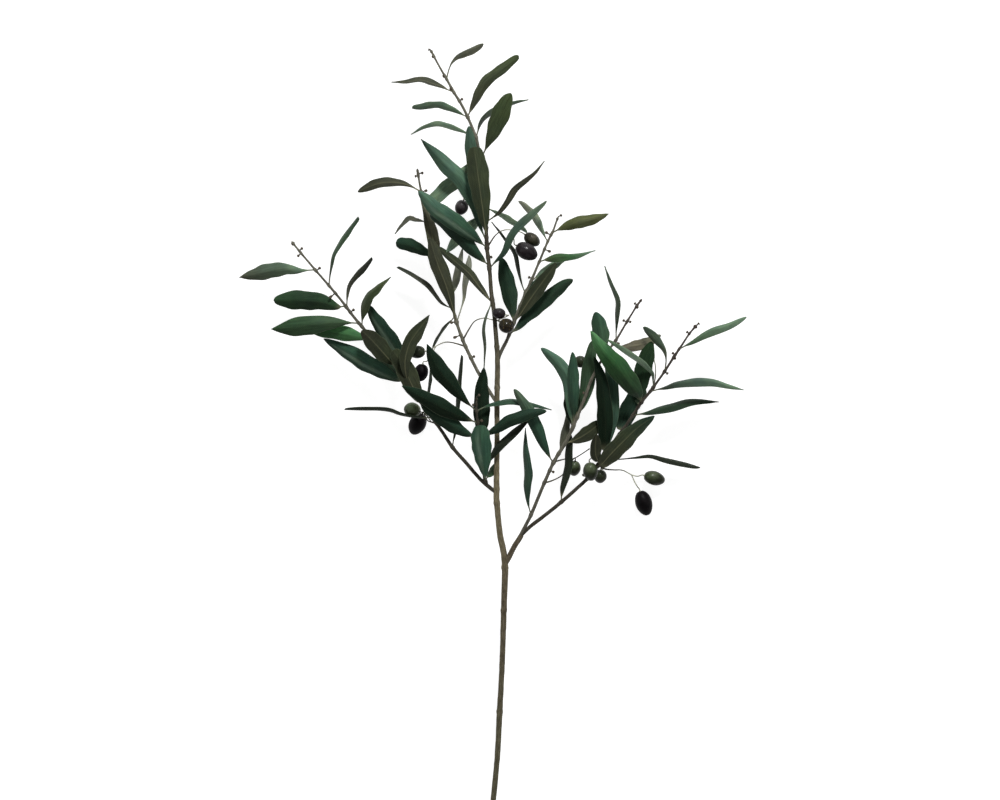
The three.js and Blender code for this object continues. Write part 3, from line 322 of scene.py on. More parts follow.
leftShoot = {
    "node": "left_shoot",
    "route": [
        (8.5, 369, 34.8, 1.8), (1, 375, 35.5, 2), (-8, 383, 36.5, 1.9), (-21, 398, 37.5, 1.8),
        (-35, 414, 38, 1.9), (-45, 429, 38.5, 1.7), (-52, 439, 38.5, 1.7), (-63, 454, 38.5, 1.7),
        (-73, 467, 38.5, 1.6), (-83, 482, 38, 1.6), (-93, 496, 37.5, 1.6), (-108, 515, 37, 1.5),
        (-125, 534, 36.5, 1.5), (-135, 546, 36, 1.4), (-141, 554, 36, 1.4), (-152, 568, 35.5, 1.2),
        (-174, 593.5, 34.5, 1.1), (-188, 610, 33.5, 1), (-197, 621, 33, 0.9),
    ],
    "wood": ("twigDark", "twigDark", "twigGrey", "twigPale"),
    "stalk": "stalkDark",
    "leaves": [
        ("paleGreen greyGreen greyBrown", "late", 16, 8, 5, (-173, 592), (-190, 591.5, -1),
         (-203, 593, -3), (-218, 591.5, -7), (-233, 588, -11), (-249.5, 585, -15)),
        ("darkGrey leafGreen darkGreen", "club", 12, 68, 62, (-158, 577), (-157.5, 594, 5),
         (-155, 607, 9), (-147, 621, 12), (-139, 632.5, 13), (-129.5, 645, 13)),
        ("green darkGreen green", "oval", 20, 8, 6, (-143, 555.5), (-152, 555.5, -2), (-164, 559.5, -5),
         (-180, 561.5, -8), (-198, 562, -10), (-215, 562, -12)),
        ("greyBrown darkGrey", "club", 12, 120, 116, (-141, 555), (-140.5, 571, 6), (-138, 579, 8),
         (-131.5, 587.5, 10), (-123.5, 596, 10), (-116, 604.5, 9)),
        ("leafGreen green", "late", 20.5, -8, -4, (-129, 539), (-151, 539.5, 5), (-172, 538, 7),
         (-187, 536, 5), (-203, 534, 2), (-217, 533, -1)),
        ("brownOlive oliveGreen", "lance", 15.5, 45, 55, (-126, 536), (-125, 551, 7), (-120, 565, 12),
         (-113, 572, 13), (-105, 579, 13), (-97, 585, 12)),
        ("tealDeep tealDark*", "oblong", 16.5, 14, 10, (-83, 482), (-87, 500, -8), (-94, 516, -9),
         (-104.5, 531, -8), (-114, 545, -7), (-119.5, 557, -6)),
        ("freshGreen brightGreen", "oblong", 16, 20, 10, (-114, 522), (-133, 526, -3), (-153, 529.5, -5),
         (-177, 530.5, -8)),
        ("tealDark tealMid tealDark*", "almond", 19, 20, 14, (-82, 479), (-93, 483.5, -5),
         (-107.5, 491, -8), (-122, 498.5, -11), (-136, 507, -13), (-165, 523.5, -16)),
        ("brownOlive darkBrown", "oblong", 20.5, 172, 165, (-92, 493), (-102, 506, 7), (-115.5, 521, 9),
         (-126.5, 531.5, 8)),
        ("brown brownOlive", "late", 15.5, 168, 160, (-79, 475), (-82, 487, 12), (-83, 501, 19),
         (-79, 517, 22), (-72, 528.5, 22), (-58.5, 547, 18)),
        ("brown brownOlive", "strap", 20, 172, 168, (-64, 456), (-70, 465, 5), (-77, 479, 8),
         (-84, 494, 10), (-89, 503, 12), (-95.5, 511.5, 13)),
        ("darkGrey", "strap", 12, 76, 76, (-62, 453), (-61, 466, -12), (-59, 482, -19), (-58, 496, -22)),
        ("darkGrey", "strap", 8.5, 64, 62, (-56, 444), (-72, 444.5, -7), (-88, 447.5, -9),
         (-100, 451.5, -11), (-122, 452.5, -15), (-144, 452.5, -20)),
        ("darkGrey", "strap", 12, 68, 68, (-35, 415), (-32, 442, -1), (-30, 476, -5), (-26.5, 507, -8)),
        ("darkGreen", "oblong", 14, 10, 15, (-84, 483), (-95, 494, -14), (-107, 505, -26),
         (-119, 515, -35)),
    ],
    "spurs": [
        (-185.5, 614.5, 35), (-191, 605.5, 34), (-167.5, 595, 36), (-159, 564, 36), (-133.5, 553, 37),
        (-196.5, 617.5, 34),
    ],
    "stalks": [
        ("olive_09", (-52, 439), (-57, 440, 34), (-61, 442, 27)),
        ("olive_08", (-57, 440, 34), (-61, 446, 32), (-65, 449.5, 28)),
    ],
}

leftShortShoot = {
    "node": "left_short_shoot",
    "route": [
        (-1, 377, 36, 1.5), (-4, 386, 40, 1.4), (-7, 407, 48, 1.2), (-10, 437, 54, 1.1),
        (-11.5, 452, 56.5, 1), (-11.5, 465, 58.5, 0.9),
    ],
    "wood": ("twigDark", "twigDark", "twigDark"),
    "stalk": "stalkPale",
    "leaves": [
        ("tealMid*", "club", 20.5, 5, 8, (-3, 380), (-4, 393, 11), (-6, 410, 19), (-7.5, 424, 23),
         (-8, 437, 23)),
        ("green", "lance", 12, 48, 45, (-3, 382), (2, 388, -8), (8, 400, -11)),
        ("darkGrey", "oblong", 11.5, 44, 42, (-5, 392), (2, 403.5, 2), (10, 415, 5), (21.5, 426, 6),
         (30.5, 434, 6), (40.5, 442.5, 4)),
        ("tealDeep tealDark", "oblong", 13, 12, 8, (-8.5, 424), (0, 428.5, 3), (9, 433.5, 6),
         (19, 440, 9), (30, 444.5, 11), (44, 449, 11), (58.5, 451, 11)),
        ("tealDark tealDeep", "oblong", 16, 10, 8, (-8.5, 424), (-25, 430, 0), (-43, 441.5, 1),
         (-58, 451.5, 0), (-67, 458, 0)),
        ("tealInk tealDeep", "almond", 17.5, 12, 8, (-10, 439), (-33, 448, 4), (-58, 461, 3),
         (-86, 476, 1)),
        ("tealInk tealDeep", "late", 18.5, 8, 10, (-11, 451), (-24.5, 463, 3), (-35, 475.5, 2),
         (-46, 488.5, 1), (-54.5, 502.5, -1), (-61, 518, -3)),
        ("tealMid tealMid", "lance", 12, 58, 58, (-10, 451), (0, 456.5, -2), (11, 459.5, -4),
         (22, 461.5, -7), (34, 460, -9.5), (49, 456.5, -11), (63.5, 452, -12)),
        ("tealInk tealDeep", "broad", 17, 8, 5, (-8, 424), (-7, 433, -3), (-6.5, 450, -6),
         (-6.5, 470, -8), (-4, 494.5, -9)),
    ],
    "spurs": [(-16, 457, 58), (-8, 467.5, 59.5), (-5, 441.5, 56)],
    "stalks": [],
}

rightOuterShoot = {
    "node": "right_outer_shoot",
    "route": [
        (31, 324, 29.8, 1.8), (42, 335, 30.5, 1.9), (57, 346.5, 31.5, 1.9), (73, 359.5, 32.5, 1.9),
        (89, 373.5, 33.5, 1.8), (102, 386, 34, 1.9), (114, 402, 34.5, 1.7), (125, 419, 35, 1.6),
        (137, 435, 35.5, 1.6), (146, 448, 36, 1.5), (153, 459, 36.5, 1.5), (162, 470, 37, 1.4),
        (170, 481, 37.5, 1.2), (177, 491, 38, 1.2), (186, 505, 38, 1.2), (196, 520, 38, 1),
        (202, 529, 38, 0.9), (209, 537, 38, 1),
    ],
    "wood": ("twigDark", "twigDark", "twigMauve"),
    "stalk": "stalkPale",
    "leaves": [
        ("darkGrey", "strap", 11, 42, 40, (73, 360), (74, 373, 2), (77.5, 386, 3), (80, 399, 4),
         (80.5, 415, 5), (81.5, 428, 5)),
        ("brown darkBrown", "oblong", 13, 160, 155, (111, 399), (108, 405, 12), (107, 415, 18),
         (108, 428, 22)),
        ("brown brownOlive tealDark", "broad", 19, 170, 165, (109.5, 396), (114, 398, 6),
         (120.5, 405.5, 11), (127.5, 413, 14), (137.5, 423, 15), (149, 434, 14), (166.5, 446, 11)),
        ("darkGrey", "stalked", 10, 52, 55, (115, 404), (129, 402.5, -4), (146, 404, -7), (162, 406, -9),
         (177, 402.5, -12), (192, 399, -15), (213, 394, -19)),
        ("tealInk tealDeep", "broad", 16.5, -12, -8, (116, 406), (117.5, 430, 6), (116.5, 460, 14),
         (112.5, 486, 19), (106, 505, 22)),
        ("teal tealMid", "oblong", 15.5, 14, 10, (118, 409), (122.5, 432, 2), (124, 462, 5),
         (122.5, 488, 5), (120.5, 510, 4)),
        ("tealDark", "broad", 19, 10, 15, (131.5, 428), (136.5, 442, -10), (142, 456, -13),
         (148, 469, -14), (153, 481, -13)),
        ("darkGreen green brightGreen freshGreen", "almond", 22, 8, 4, (153, 460), (149, 469, 18),
         (140.5, 480, 26), (128.5, 495, 31), (114.5, 511.5, 31), (102.5, 531, 27)),
        ("darkGreen green", "oblong", 18.5, 16, 12, (154, 460), (153.5, 473, 4), (155.5, 495, 9),
         (163.5, 520.5, 11)),
        ("darkGreen", "lance", 15, 55, 50, (146, 446), (160.5, 449.5, -2), (173, 453, -4),
         (186, 456.5, -6), (200, 460, -9), (215, 461, -12), (231.5, 460, -15)),
        ("darkGrey teal paleGreen", "lance", 14, 62, 38, (163, 470), (177, 474.5, 3), (189, 478.5, 5),
         (205, 480.5, 5), (223, 480.5, 3), (239, 476.5, 0), (256, 472, -3)),
        ("greyGreen mist paleGreen", "oblong", 12, 66, 58, (166, 475), (164, 486.5, 9),
         (159.5, 492.5, 16), (150.5, 500.5, 24), (137.5, 509, 31), (119, 522, 34)),
        ("khaki greyGreen greyGreen", "stalked", 13, 52, 48, (177, 491), (178, 503, 8), (175, 512, 13),
         (168.5, 520.5, 15), (162, 527.5, 16), (155, 535, 16)),
        ("leafGreen paleGreen", "oblong", 11.3, 46, 42, (192, 512), (206, 521, 4), (222, 530, 6),
         (239, 536, 7), (258.5, 545, 6)),
        ("darkGreen", "oblong", 14, 15, 10, (150, 455), (152, 466, -17), (152, 478, -29),
         (151, 489, -35)),
    ],
    "spurs": [
        (211.5, 539, 39), (206.5, 536.5, 39), (198.5, 530.5, 39), (184, 509.5, 39), (188, 503, 39),
        (180.5, 488, 38), (94.5, 388, 36),
    ],
    "stalks": [
        ("olive_14", (110, 397.5), (117, 393, 32), (126, 392, 29.5), (135, 391.5, 26), (144, 387, 21),
         (150, 385.5, 16)),
        ("olive_15", (144, 387, 21), (147, 380, 18), (150, 375, 14)),
        ("olive_12", (113, 401), (109.5, 403, 38.5), (104.5, 404, 43)),
        ("olive_13", (114, 402), (116, 396, 31), (115, 392.5, 29)),
        (None, (166, 473), (167.5, 485, 36), (167.5, 496, 39), (165.5, 505, 43)),
    ],
}

rightInnerShoot = {
    "node": "right_inner_shoot",
    "route": [
        (31.5, 324.5, 30, 1.7), (43, 347, 33, 1.8), (53, 371, 36.5, 1.7), (62, 392, 40, 1.7),
        (68, 404, 42, 1.8), (79, 422, 45, 1.7), (90, 447, 48, 1.6), (98, 468, 50, 1.6),
        (104, 484, 51, 1.4), (115, 504, 51.5, 1.2), (128, 522, 51.5, 1.1), (137, 537, 51, 1),
        (148, 555, 50, 0.9), (154, 563, 49.5, 1),
    ],
    "wood": ("twigGrey", "twigPale", "twigMauve"),
    "stalk": "stalkDark",
    "leaves": [
        ("tealDark teal", "lance", 12, 42, 45, (43, 347), (39.5, 361, 1), (38.5, 375, 2), (39.5, 386, 2),
         (39, 398, 3), (37, 412, 3), (37.5, 434, 3)),
        ("tealDark tealMid greyGreen", "oblong", 13.5, 12, 8, (65, 399), (58.5, 411, 5), (50, 430.5, 10),
         (41.5, 449, 14), (26, 473, 17)),
        ("greyBrown", "lance", 11, 42, 40, (71, 408), (74, 418, -9), (76.5, 430, -15.5), (79, 442, -19),
         (80.5, 454, -20)),
        ("brown brownOlive", "oblong", 15.5, 168, 165, (78, 418), (89, 423, -4), (101, 430, -6),
         (116, 442, -9)),
        ("tealDeep", "oblong", 17, 12, 10, (84, 432), (83.5, 450, -9), (83.5, 467, -12),
         (82.5, 486, -13)),
        ("tealMid tealPale tealPale tealPale", "oblong", 14.5, 10, 5, (85, 435), (82.5, 452, -4),
         (82.5, 469, -6), (78.5, 487, -7), (67.5, 501.5, -7), (53, 514, -7)),
        ("tealDeep tealMid tealMid", "oblong", 12.5, 20, 15, (86, 437), (85.5, 462, -1), (85, 490, -1),
         (84.5, 510, -2)),
        ("leafGreen", "oblong", 15.5, 16, 10, (90, 445), (95.5, 460, -4), (100, 487, -7), (104, 521, -8)),
        ("leafGreen tealMid", "oblong", 17.5, 8, 5, (115, 504), (114, 517, -4), (112, 532, -6),
         (107.5, 550, -7)),
        ("darkGrey greyGreen", "lance", 12, 68, 64, (128, 522), (128, 544, 4), (128.5, 559, 7),
         (125.5, 569.5, 8), (120.5, 582, 9), (116.5, 596, 9)),
        ("paleBrown paleGrey", "oblong", 12, 172, 165, (125, 518), (134, 514.5, -4), (148, 516.5, -9),
         (160, 520, -13), (173, 527, -16)),
        ("tealDeep", "oblong", 14, 10, 15, (89, 444), (87, 458, -16), (85, 472, -30), (83, 485, -40)),
    ],
    "spurs": [
        (66.5, 389.5, 41), (94.5, 469.5, 51.5), (134.5, 542, 52), (143, 539.5, 52), (146, 559, 51),
        (150, 554, 51), (131.5, 517.5, 52.5),
    ],
    "stalks": [
        ("olive_10", (103, 482), (106, 486, 47), (106, 492, 40), (103, 496, 37)),
        ("olive_11", (58, 378), (66, 382, 33), (74.5, 387, 28.5), (82, 397.5, 29.5), (86, 403.5, 30)),
        (None, (66, 400), (71.5, 401.5, 34), (78, 403, 30.5), (85, 403, 30), (94, 408, 30),
         (102, 413.5, 30)),
    ],
}

olives = {  # long axis, width, centre, direction to the stalk, ripeness
    "olive_01": (15.5, 13.5, (-26.5, 654.5, 48.5), (0.3, 0.95, 0.05), "dusky"),
    "olive_02": (18, 13, (44, 622.5, 41.5), (-0.82, 0.57, 0.2), "russet"),
    "olive_03": (24, 17, (38.5, 610.5, 52), (-0.86, 0.5, 0), "black"),
    "olive_04": (17, 13, (-71, 510, 34), (0.95, 0.1, 0.1), "dark"),
    "olive_05": (18, 14.5, (-67, 489.5, 34), (0.2, 0.95, 0.1), "purple"),
    "olive_06": (13.5, 11, (11, 548.5, 58), (0.95, -0.2, -0.15), "black"),
    "olive_07": (16, 15, (18.5, 536, 57.5), (-0.7, 0.5, -0.35), "mottled"),
    "olive_08": (17.5, 15.5, (-76, 452, 24), (0.85, -0.2, 0.3), "young"),
    "olive_09": (24, 17, (-71, 438, 8.8), (0.42, 0.82, 0.3), "purple"),
    "olive_10": (13, 12, (92.5, 500.5, 31), (0.9, -0.3, 0.1), "dark"),
    "olive_11": (16, 13, (86.5, 393.5, 22), (0.1, 0.95, 0.3), "green"),
    "olive_12": (19, 15, (102.5, 390.5, 44.5), (-0.1, 0.97, 0.1), "green"),
    "olive_13": (14, 13, (112.5, 385.5, 27), (0.1, 0.95, 0.2), "dark"),
    "olive_14": (22, 14.5, (167, 383.5, 12), (-0.95, 0.25, 0.15), "green"),
    "olive_15": (26, 17, (156.5, 358.5, 8.6), (-0.31, 0.95, 0.05), "purple"),
}

tones = linearTones({  # leaf colours: upper face and underside share the names
    "teal": (58, 81, 68), "tealPale": (70, 98, 82), "tealMid": (44, 73, 58), "tealDark": (30, 53, 42),
    "tealDeep": (17, 35, 26), "tealInk": (10, 26, 18), "leafGreen": (53, 76, 55),
    "freshGreen": (76, 122, 80), "brightGreen": (40, 80, 44), "green": (37, 62, 39),
    "darkGreen": (31, 51, 37), "greyGreen": (78, 94, 78), "paleGreen": (98, 122, 100),
    "paleGrey": (104, 107, 92), "paleBrown": (122, 114, 98), "silver": (142, 145, 130),
    # paintedSheen is the colour of a painted highlight streak on glossy-looking leaves
    "mist": (124, 148, 124), "khaki": (92, 92, 76), "petiole": (118, 116, 94), "paintedSheen": (120, 142, 124),
    "olive": (72, 78, 48), "oliveGreen": (57, 70, 43), "brownOlive": (47, 55, 39), "brown": (54, 57, 45),
    "darkBrown": (36, 38, 30), "greyBrown": (66, 68, 57), "darkGrey": (34, 41, 34),
})

# Curves.

shortSteps = np.linspace(0, 1, 601)
looksPerSpan = 40


def curveAt(rows, t):
    # between two points, a cubic whose slope at each is half the step between its neighbours
    points = np.array(rows, float)[:, :3]
    spans = len(points) - 1
    padded = np.vstack([2 * points[0] - points[1], points, 2 * points[-1] - points[-2]])
    place = np.clip(t, 0, 1) * spans
    i = np.minimum(place.astype(int), spans - 1)
    w = (place - i)[:, None]
    before, first, last, after = (padded[i + k] for k in range(4))
    leave, arrive = (last - before) / 2, (after - first) / 2
    cubic = 2 * first - 2 * last + leave + arrive
    square = -3 * first + 3 * last - 2 * leave - arrive
    return cubic * w**3 + square * w**2 + leave * w + first


def lengthRun(rows):
    # the length of the curve up to each of 600 short steps
    steps = np.linalg.norm(np.diff(curveAt(rows, shortSteps), axis=0), axis=1)
    return np.concatenate([[0], np.cumsum(steps)])


def evenPlaces(rows, shares):
    # the curve's own parameter at each share of its length
    run = lengthRun(rows)
    return np.interp(shares * run[-1], run, shortSteps)


def shareAt(rows, t):
    # how much of the curve's length lies before its parameter t
    run = lengthRun(rows)
    return np.interp(t, shortSteps, run) / run[-1]


def nearestTo(rows, spot):
    # the curve's parameter at its point closest to the spot, seen from above
    t = np.linspace(0, 1, looksPerSpan * (len(rows) - 1) + 1)
    gaps = curveAt(rows, t)[:, :2] - np.array(spot[:2])
    return t[np.argmin(np.hypot(gaps[:, 0], gaps[:, 1]))]


def spotOn(rows, spot):
    return curveAt(rows, np.array([nearestTo(rows, spot)]))[0]


def sectionAxes(rows, t):
    # along is the slope, across is along crossed with straight up, upward is across crossed with along
    step = 1e-4
    along = curveAt(rows, np.minimum(t + step, 1)) - curveAt(rows, np.maximum(t - step, 0))
    along /= np.linalg.norm(along, axis=1)[:, None]
    across = np.cross(along, (0, 0, 1))
    across /= np.linalg.norm(across, axis=1)[:, None]
    return across, np.cross(across, along)


def stacked(*parts):
    return np.stack(np.broadcast_arrays(*parts), axis=-1)


def toneRun(shares, stops, colours):
    # straight lines from each colour to the next, in each channel
    return np.stack([np.interp(shares, stops, channel) for channel in np.array(colours).T], axis=-1)


def tube(rows, t, angle, reach, radius, along):
    # each ring is the reach times its cosine across the curve and its sine upward, from the curve's point
    across, upward = sectionAxes(rows, t)
    rings = curveAt(rows, t)[:, None] + across[:, None] * (reach * np.cos(angle))[..., None]
    rings = rings + upward[:, None] * (reach * np.sin(angle))[..., None]
    return rings, stacked(np.cos(angle) * radius, along, np.sin(angle) * radius)


# Meshes. A skin is rings of points. Every point carries a colour, a place in the grain and marks.


def ringFaces(first, rings, count):
    # one square between each pair of neighbours on neighbouring rings, and a flat face over each end
    place = first + np.arange(rings * count).reshape(rings, count)
    beside = np.roll(place, -1, axis=1)
    squares = np.stack([place[:-1], place[1:], beside[1:], beside[:-1]], axis=-1).reshape(-1, 4)
    return squares.tolist() + [place[0].tolist(), place[-1, ::-1].tolist()]


class Skins:
    # gathers skins into one mesh

    def __init__(self):
        self.points, self.tone, self.grain, self.marks = [], [], [], []
        self.faces, self.finish, self.size = [], [], 0

    def add(self, rings, tone, grain, marks=(0, 0, 0), finish=0):
        # rings, tone, grain and marks are (ring, point, 3), or fit that shape
        faces = ringFaces(self.size, *rings.shape[:2])
        self.faces += faces
        self.finish += [finish] * len(faces)
        self.size += rings.shape[0] * rings.shape[1]
        lists = (self.points, self.tone, self.grain, self.marks)
        for gathered, values in zip(lists, (rings, tone, grain, marks)):
            gathered.append(np.broadcast_to(values, rings.shape).reshape(-1, 3))

    def build(self, name, materials, slotName, node):
        mesh = bpy.data.meshes.new(name)
        mesh.from_pydata(np.vstack(self.points) * mm, [], self.faces)
        tone = np.hstack([np.vstack(self.tone), np.ones((self.size, 1))])
        mesh.attributes.new("tone", "FLOAT_COLOR", "POINT").data.foreach_set("color", tone.ravel())
        for attribute, values in (("grain", self.grain), ("marks", self.marks)):
            data = mesh.attributes.new(attribute, "FLOAT_VECTOR", "POINT").data
            data.foreach_set("vector", np.vstack(values).ravel())
        for material in materials:
            mesh.materials.append(material)
        mesh.polygons.foreach_set("material_index", self.finish)
        mesh.polygons.foreach_set("use_smooth", np.ones(len(self.faces), bool))
        mesh.validate()
        mesh.update()
        piece = addObject(name, mesh)
        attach(piece, "root")
        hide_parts(node)


# Leaves.

leafShape = {
    "thickness": 0.7,
    "thinning": 0.6,  # how much thinner the margin is
    "droop": np.radians(12),  # how far each half of the blade hangs below the rib
    "ridge": (0.012, 0.11, 0.896),  # how round the ridge is, and what takes it from 0 at the rib to 1
    "petiole": 5,
    "petioleRings": (0, 0.3, 0.65),
    "petioleWidth": 1.5,
    "petioleRound": 0.62,
    "bladeFrom": (0.9, 2.5),  # half widths between which the stalk turns into a blade
    "tipWidth": 0.8,
    "rings": 30,
    "closeRings": 0.65,  # how much closer rings stand at the foot and the tip
    "columns": (1, 0.97, 0.86, 0.66, 0.42, 0.2, 0.08, 0),
    "wave": 0.05,  # how far a margin waves up and down, as a share of half the width
    "waves": (1.2, 2.6),  # fewest and most waves along a margin
    "wander": 0.05,  # how far it wanders in and out, and how often to each wave
    "wanderBeat": 1.7,
    "rib": 0.42,
    "ribWidth": 0.55,
    "ribFade": 0.75,  # how much of the rib is gone at the tip
    "groove": 0.2,
    "edgeRoll": 0.3,
    "edgeFrom": 0.8,
}
leafColour = {
    "spread": (0.95, 1.05),  # darkest and lightest leaf of one tone
    "paintedLightHalves": 0.38,  # painted light and shade: the half of a blade towards the lamp, nearer the branch tip, is this much lighter, the other half darker
    "lightSide": (0.4, 0.92, 0),
    "paintedLightBlend": 1.2,  # how far from the rib the painted light and shade of the halves part, mm
    "pale": 0.55,  # how pale the foot of a leaf is, and how far up
    "paleUpTo": 0.1,
    "paintedSheen": (0.55, -0.3, 0.22),  # strength, place and width of the painted sheen, a pale streak painted where a highlight would lie
    "behind": ("brownOlive", "darkGreen"),  # the hidden face of a leaf seen from above, and from below
    "brightness": (0.213, 0.715, 0.072),
    "gloss": [(0.011, 0.015), (0.021, 0.03), (0.034, 0.055), (9, 0.085)],  # brightness up to, and gloss
    "grainSpread": 500,  # so that no two leaves share their grain
}
leafForms = {  # where a leaf is widest, and how bluntly it opens from its foot and closes to its tip
    "lance": (0.42, 1, 0.9),
    "oblong": (0.5, 0.85, 0.5),
    "spoon": (0.62, 1.05, 0.55),
    "strap": (0.5, 0.6, 0.28),
    "oval": (0.62, 0.55, 0.48),
    "tapered": (0.28, 0.7, 1.1),
    "club": (0.7, 0.8, 0.28),
    "broad": (0.35, 0.4, 0.6),
    "almond": (0.45, 0.8, 0.7),
    "stalked": (0.74, 2.2, 0.55),
    "late": (0.6, 1.1, 0.85),
}


def leafOutline(v, form):
    # a quarter of a sine up to the widest place and a quarter of a cosine down, each to its own power
    widest, foot, tip = leafForms[form]
    opening = np.sin(np.pi / 2 * np.clip(v / widest, 0, 1)) ** foot
    closing = np.cos(np.pi / 2 * np.clip((v - widest) / (1 - widest), 0, 1)).clip(0) ** tip
    return opening * closing


def addLeaf(skins, wood, leaf, chance):
    # rings along the spine, each turned about it by the roll: once round the blade, over and under
    toneNames, form, width, rootRoll, tipRoll, root, *spine = leaf
    shape, look = leafShape, leafColour
    base = spotOn(wood, root)
    points = [base] + [(x, y, base[2] + rise) for x, y, rise in spine]
    length = lengthRun(points)[-1]
    petiole = shape["petiole"] / length
    k = np.linspace(0, 1, shape["rings"])
    blade = (1 - shape["closeRings"]) * k + shape["closeRings"] * (0.5 - 0.5 * np.cos(np.pi * k))
    v = np.concatenate([[0, 0, 0], blade])
    shares = np.concatenate([np.array(shape["petioleRings"]) * petiole, petiole + (1 - petiole) * blade])
    t = evenPlaces(points, shares)
    centre = curveAt(points, t)
    across, upward = sectionAxes(points, t)
    roll = np.radians(rootRoll + (tipRoll - rootRoll) * shares)[:, None]
    side = across * np.cos(roll) + upward * np.sin(roll)
    face = upward * np.cos(roll) - across * np.sin(roll)
    v = v[:, None]

    # half the width: the outline or the stalk's and tip's own, whichever is more, rounded where they meet
    narrowest = (shape["petioleWidth"] * (1 - v) + shape["tipWidth"] * v) / 2
    half = (((width / 2) * leafOutline(v, form)) ** 4 + narrowest**4) ** 0.25
    over = np.array(shape["columns"] + tuple(-s for s in shape["columns"][-2::-1]))
    s = np.concatenate([over, over[-2:0:-1]])[None, :]  # 1 and -1 at the margins, once over and once under
    under = np.concatenate([np.zeros(len(over)), np.ones(len(over) - 2)])[None, :]
    under[0, [0, len(over) - 1]] = 0.5

    # the middle surface: a ridge with a rounded top, a wave along each margin and margins rolled under
    rounding, sink, span = shape["ridge"]
    ridge = (np.sqrt(s**2 + rounding) - sink) / span
    phase = chance.uniform(0, fullTurn, 2)
    beat = chance.uniform(*shape["waves"], 2)
    turns = np.where(s > 0, v * beat[0] * fullTurn + phase[0], v * beat[1] * fullTurn + phase[1])
    wave = shape["wave"] * half * s**2 * np.sin(turns)
    flat = ease(*shape["bladeFrom"], half)
    half = half * (1 + shape["wander"] * np.abs(s) * np.sin(shape["wanderBeat"] * turns + phase[0]) * flat)
    rise = wave * flat - (half - narrowest) * np.sin(shape["droop"]) * ridge
    rise = rise - shape["edgeRoll"] * ease(shape["edgeFrom"], 1, np.abs(s)) * flat

    # thickness: round in the stalk, thin at the margins of the blade, with a rib under and a groove over
    stalkThick = np.sqrt(np.clip(1 - s**2, 0, 1)) * shape["petioleRound"]
    bladeThick = shape["thickness"] / 2 * (1 - shape["thinning"] * np.abs(s) ** 4)
    thick = stalkThick + (bladeThick - stalkThick) * flat
    rib = np.exp(-((s * half / shape["ribWidth"]) ** 2)) * flat * (1 - shape["ribFade"] * v)
    above, below = thick - shape["groove"] * rib, -thick - shape["rib"] * rib
    lift = np.where(under == 0, above, np.where(under == 1, below, 0))
    rings = centre[:, None] + side[:, None] * (half * np.cos(shape["droop"]) * s)[..., None]
    rings = rings + face[:, None] * (rise + lift)[..., None]

    # colour: the named tones, from foot to tip, on the face that shows and a quieter one on the other
    stops = np.array([tones[name] for name in toneNames.strip("*").split()])
    seen = toneRun(v, np.linspace(0, 1, len(stops)), stops)
    overTone, underTone = seen, tones[look["behind"][0]]
    if rootRoll >= 90:
        overTone, underTone = tones[look["behind"][1]], seen
    # painted light and shade: the half of each blade that lies towards lightSide is lightened, the other
    # half darkened
    lean = (side @ np.array(look["lightSide"]))[:, None] * np.tanh(s * half / look["paintedLightBlend"])
    shade = (1 + look["paintedLightHalves"] * lean) * chance.uniform(*look["spread"])
    tone = (overTone * (1 - under[..., None]) + underTone * under[..., None]) * shade[..., None]
    # painted sheen: a pale streak beside the rib, standing in for a highlight
    if "*" in toneNames:
        strong, place, wide = look["paintedSheen"]
        paintedSheen = strong * np.exp(-(((s - place) / wide) ** 2)) * np.sin(np.pi * v) * (under < 1)
        tone = tone + (tones["paintedSheen"] - tone) * paintedSheen[..., None]
    pale = look["pale"] * (1 - ease(0, look["paleUpTo"], v))
    tone = tone + (tones["petiole"] - tone) * pale[..., None]
    grain = stacked(s * half, shares[:, None] * length, chance.uniform(0, look["grainSpread"]))
    brightness = (stops @ np.array(look["brightness"])).mean()
    finish = next(number for number, (limit, _) in enumerate(look["gloss"]) if brightness < limit)
    skins.add(rings, tone, grain, stacked(v, s, under), finish)


# Wood: stems, shoots, bud spurs and fruit stalks.

woodShape = {
    "sides": 14,
    "step": 1.6,
    "swelling": 0.5,  # how far a shoot swells where a leaf or spur leaves it, mm, and how far along
    "swellingReach": 1.7,
    "ripple": 0.07,
    "ripples": ((2, 31), (3, 17), (4, 43), (5, 11), (7, 23), (1, 9)),  # ridges round, and mm to a turn
    "cutRadii": (0.12, 0.5, 0.88, 0.96),  # the rings of the cut face, and how far the first ones stand out
    "cutDepth": (0.35, 0.3, 0.25),
    "budLength": 4,
    "budRings": 9,
    "budSwelling": (0.45, 2.4, 1.1),  # how much, how far from the end, and how far along
    "budEnd": (-0.15, 1.6),
}
thinShape = {"sides": 9, "rings": 6, "ripple": 0.05, "ridges": 3, "twist": 20}  # rings to each point
spurShape = {  # radii at shares of the length
    "shares": (0, 0.25, 0.45, 0.58, 0.7, 0.84, 0.95, 1),
    "radii": (0.95, 0.66, 0.62, 1.1, 1.5, 1.5, 1.0, 0.15),
}
stalkShape = {
    "foot": 1.15,  # radius at the wood, and where it leaves another stalk
    "fork": 0.62,
    "afterFoot": 0.85,
    "radii": (0.64, 0.58, 0.56, 0.74),  # along the stalk, up to the flare
    "flare": 1.2,  # radius at the olive, and at an end that lost its olive
    "bareEnd": 0.3,
    "reaches": (1.5, 2.2, 1),  # mm from the foot, and from the end, where the radii change
    "clear": (3.0, 0.25),  # last two places, mm clear of the dimple
}
phaseSpan = 6.28  # random phases lie between 0 and this
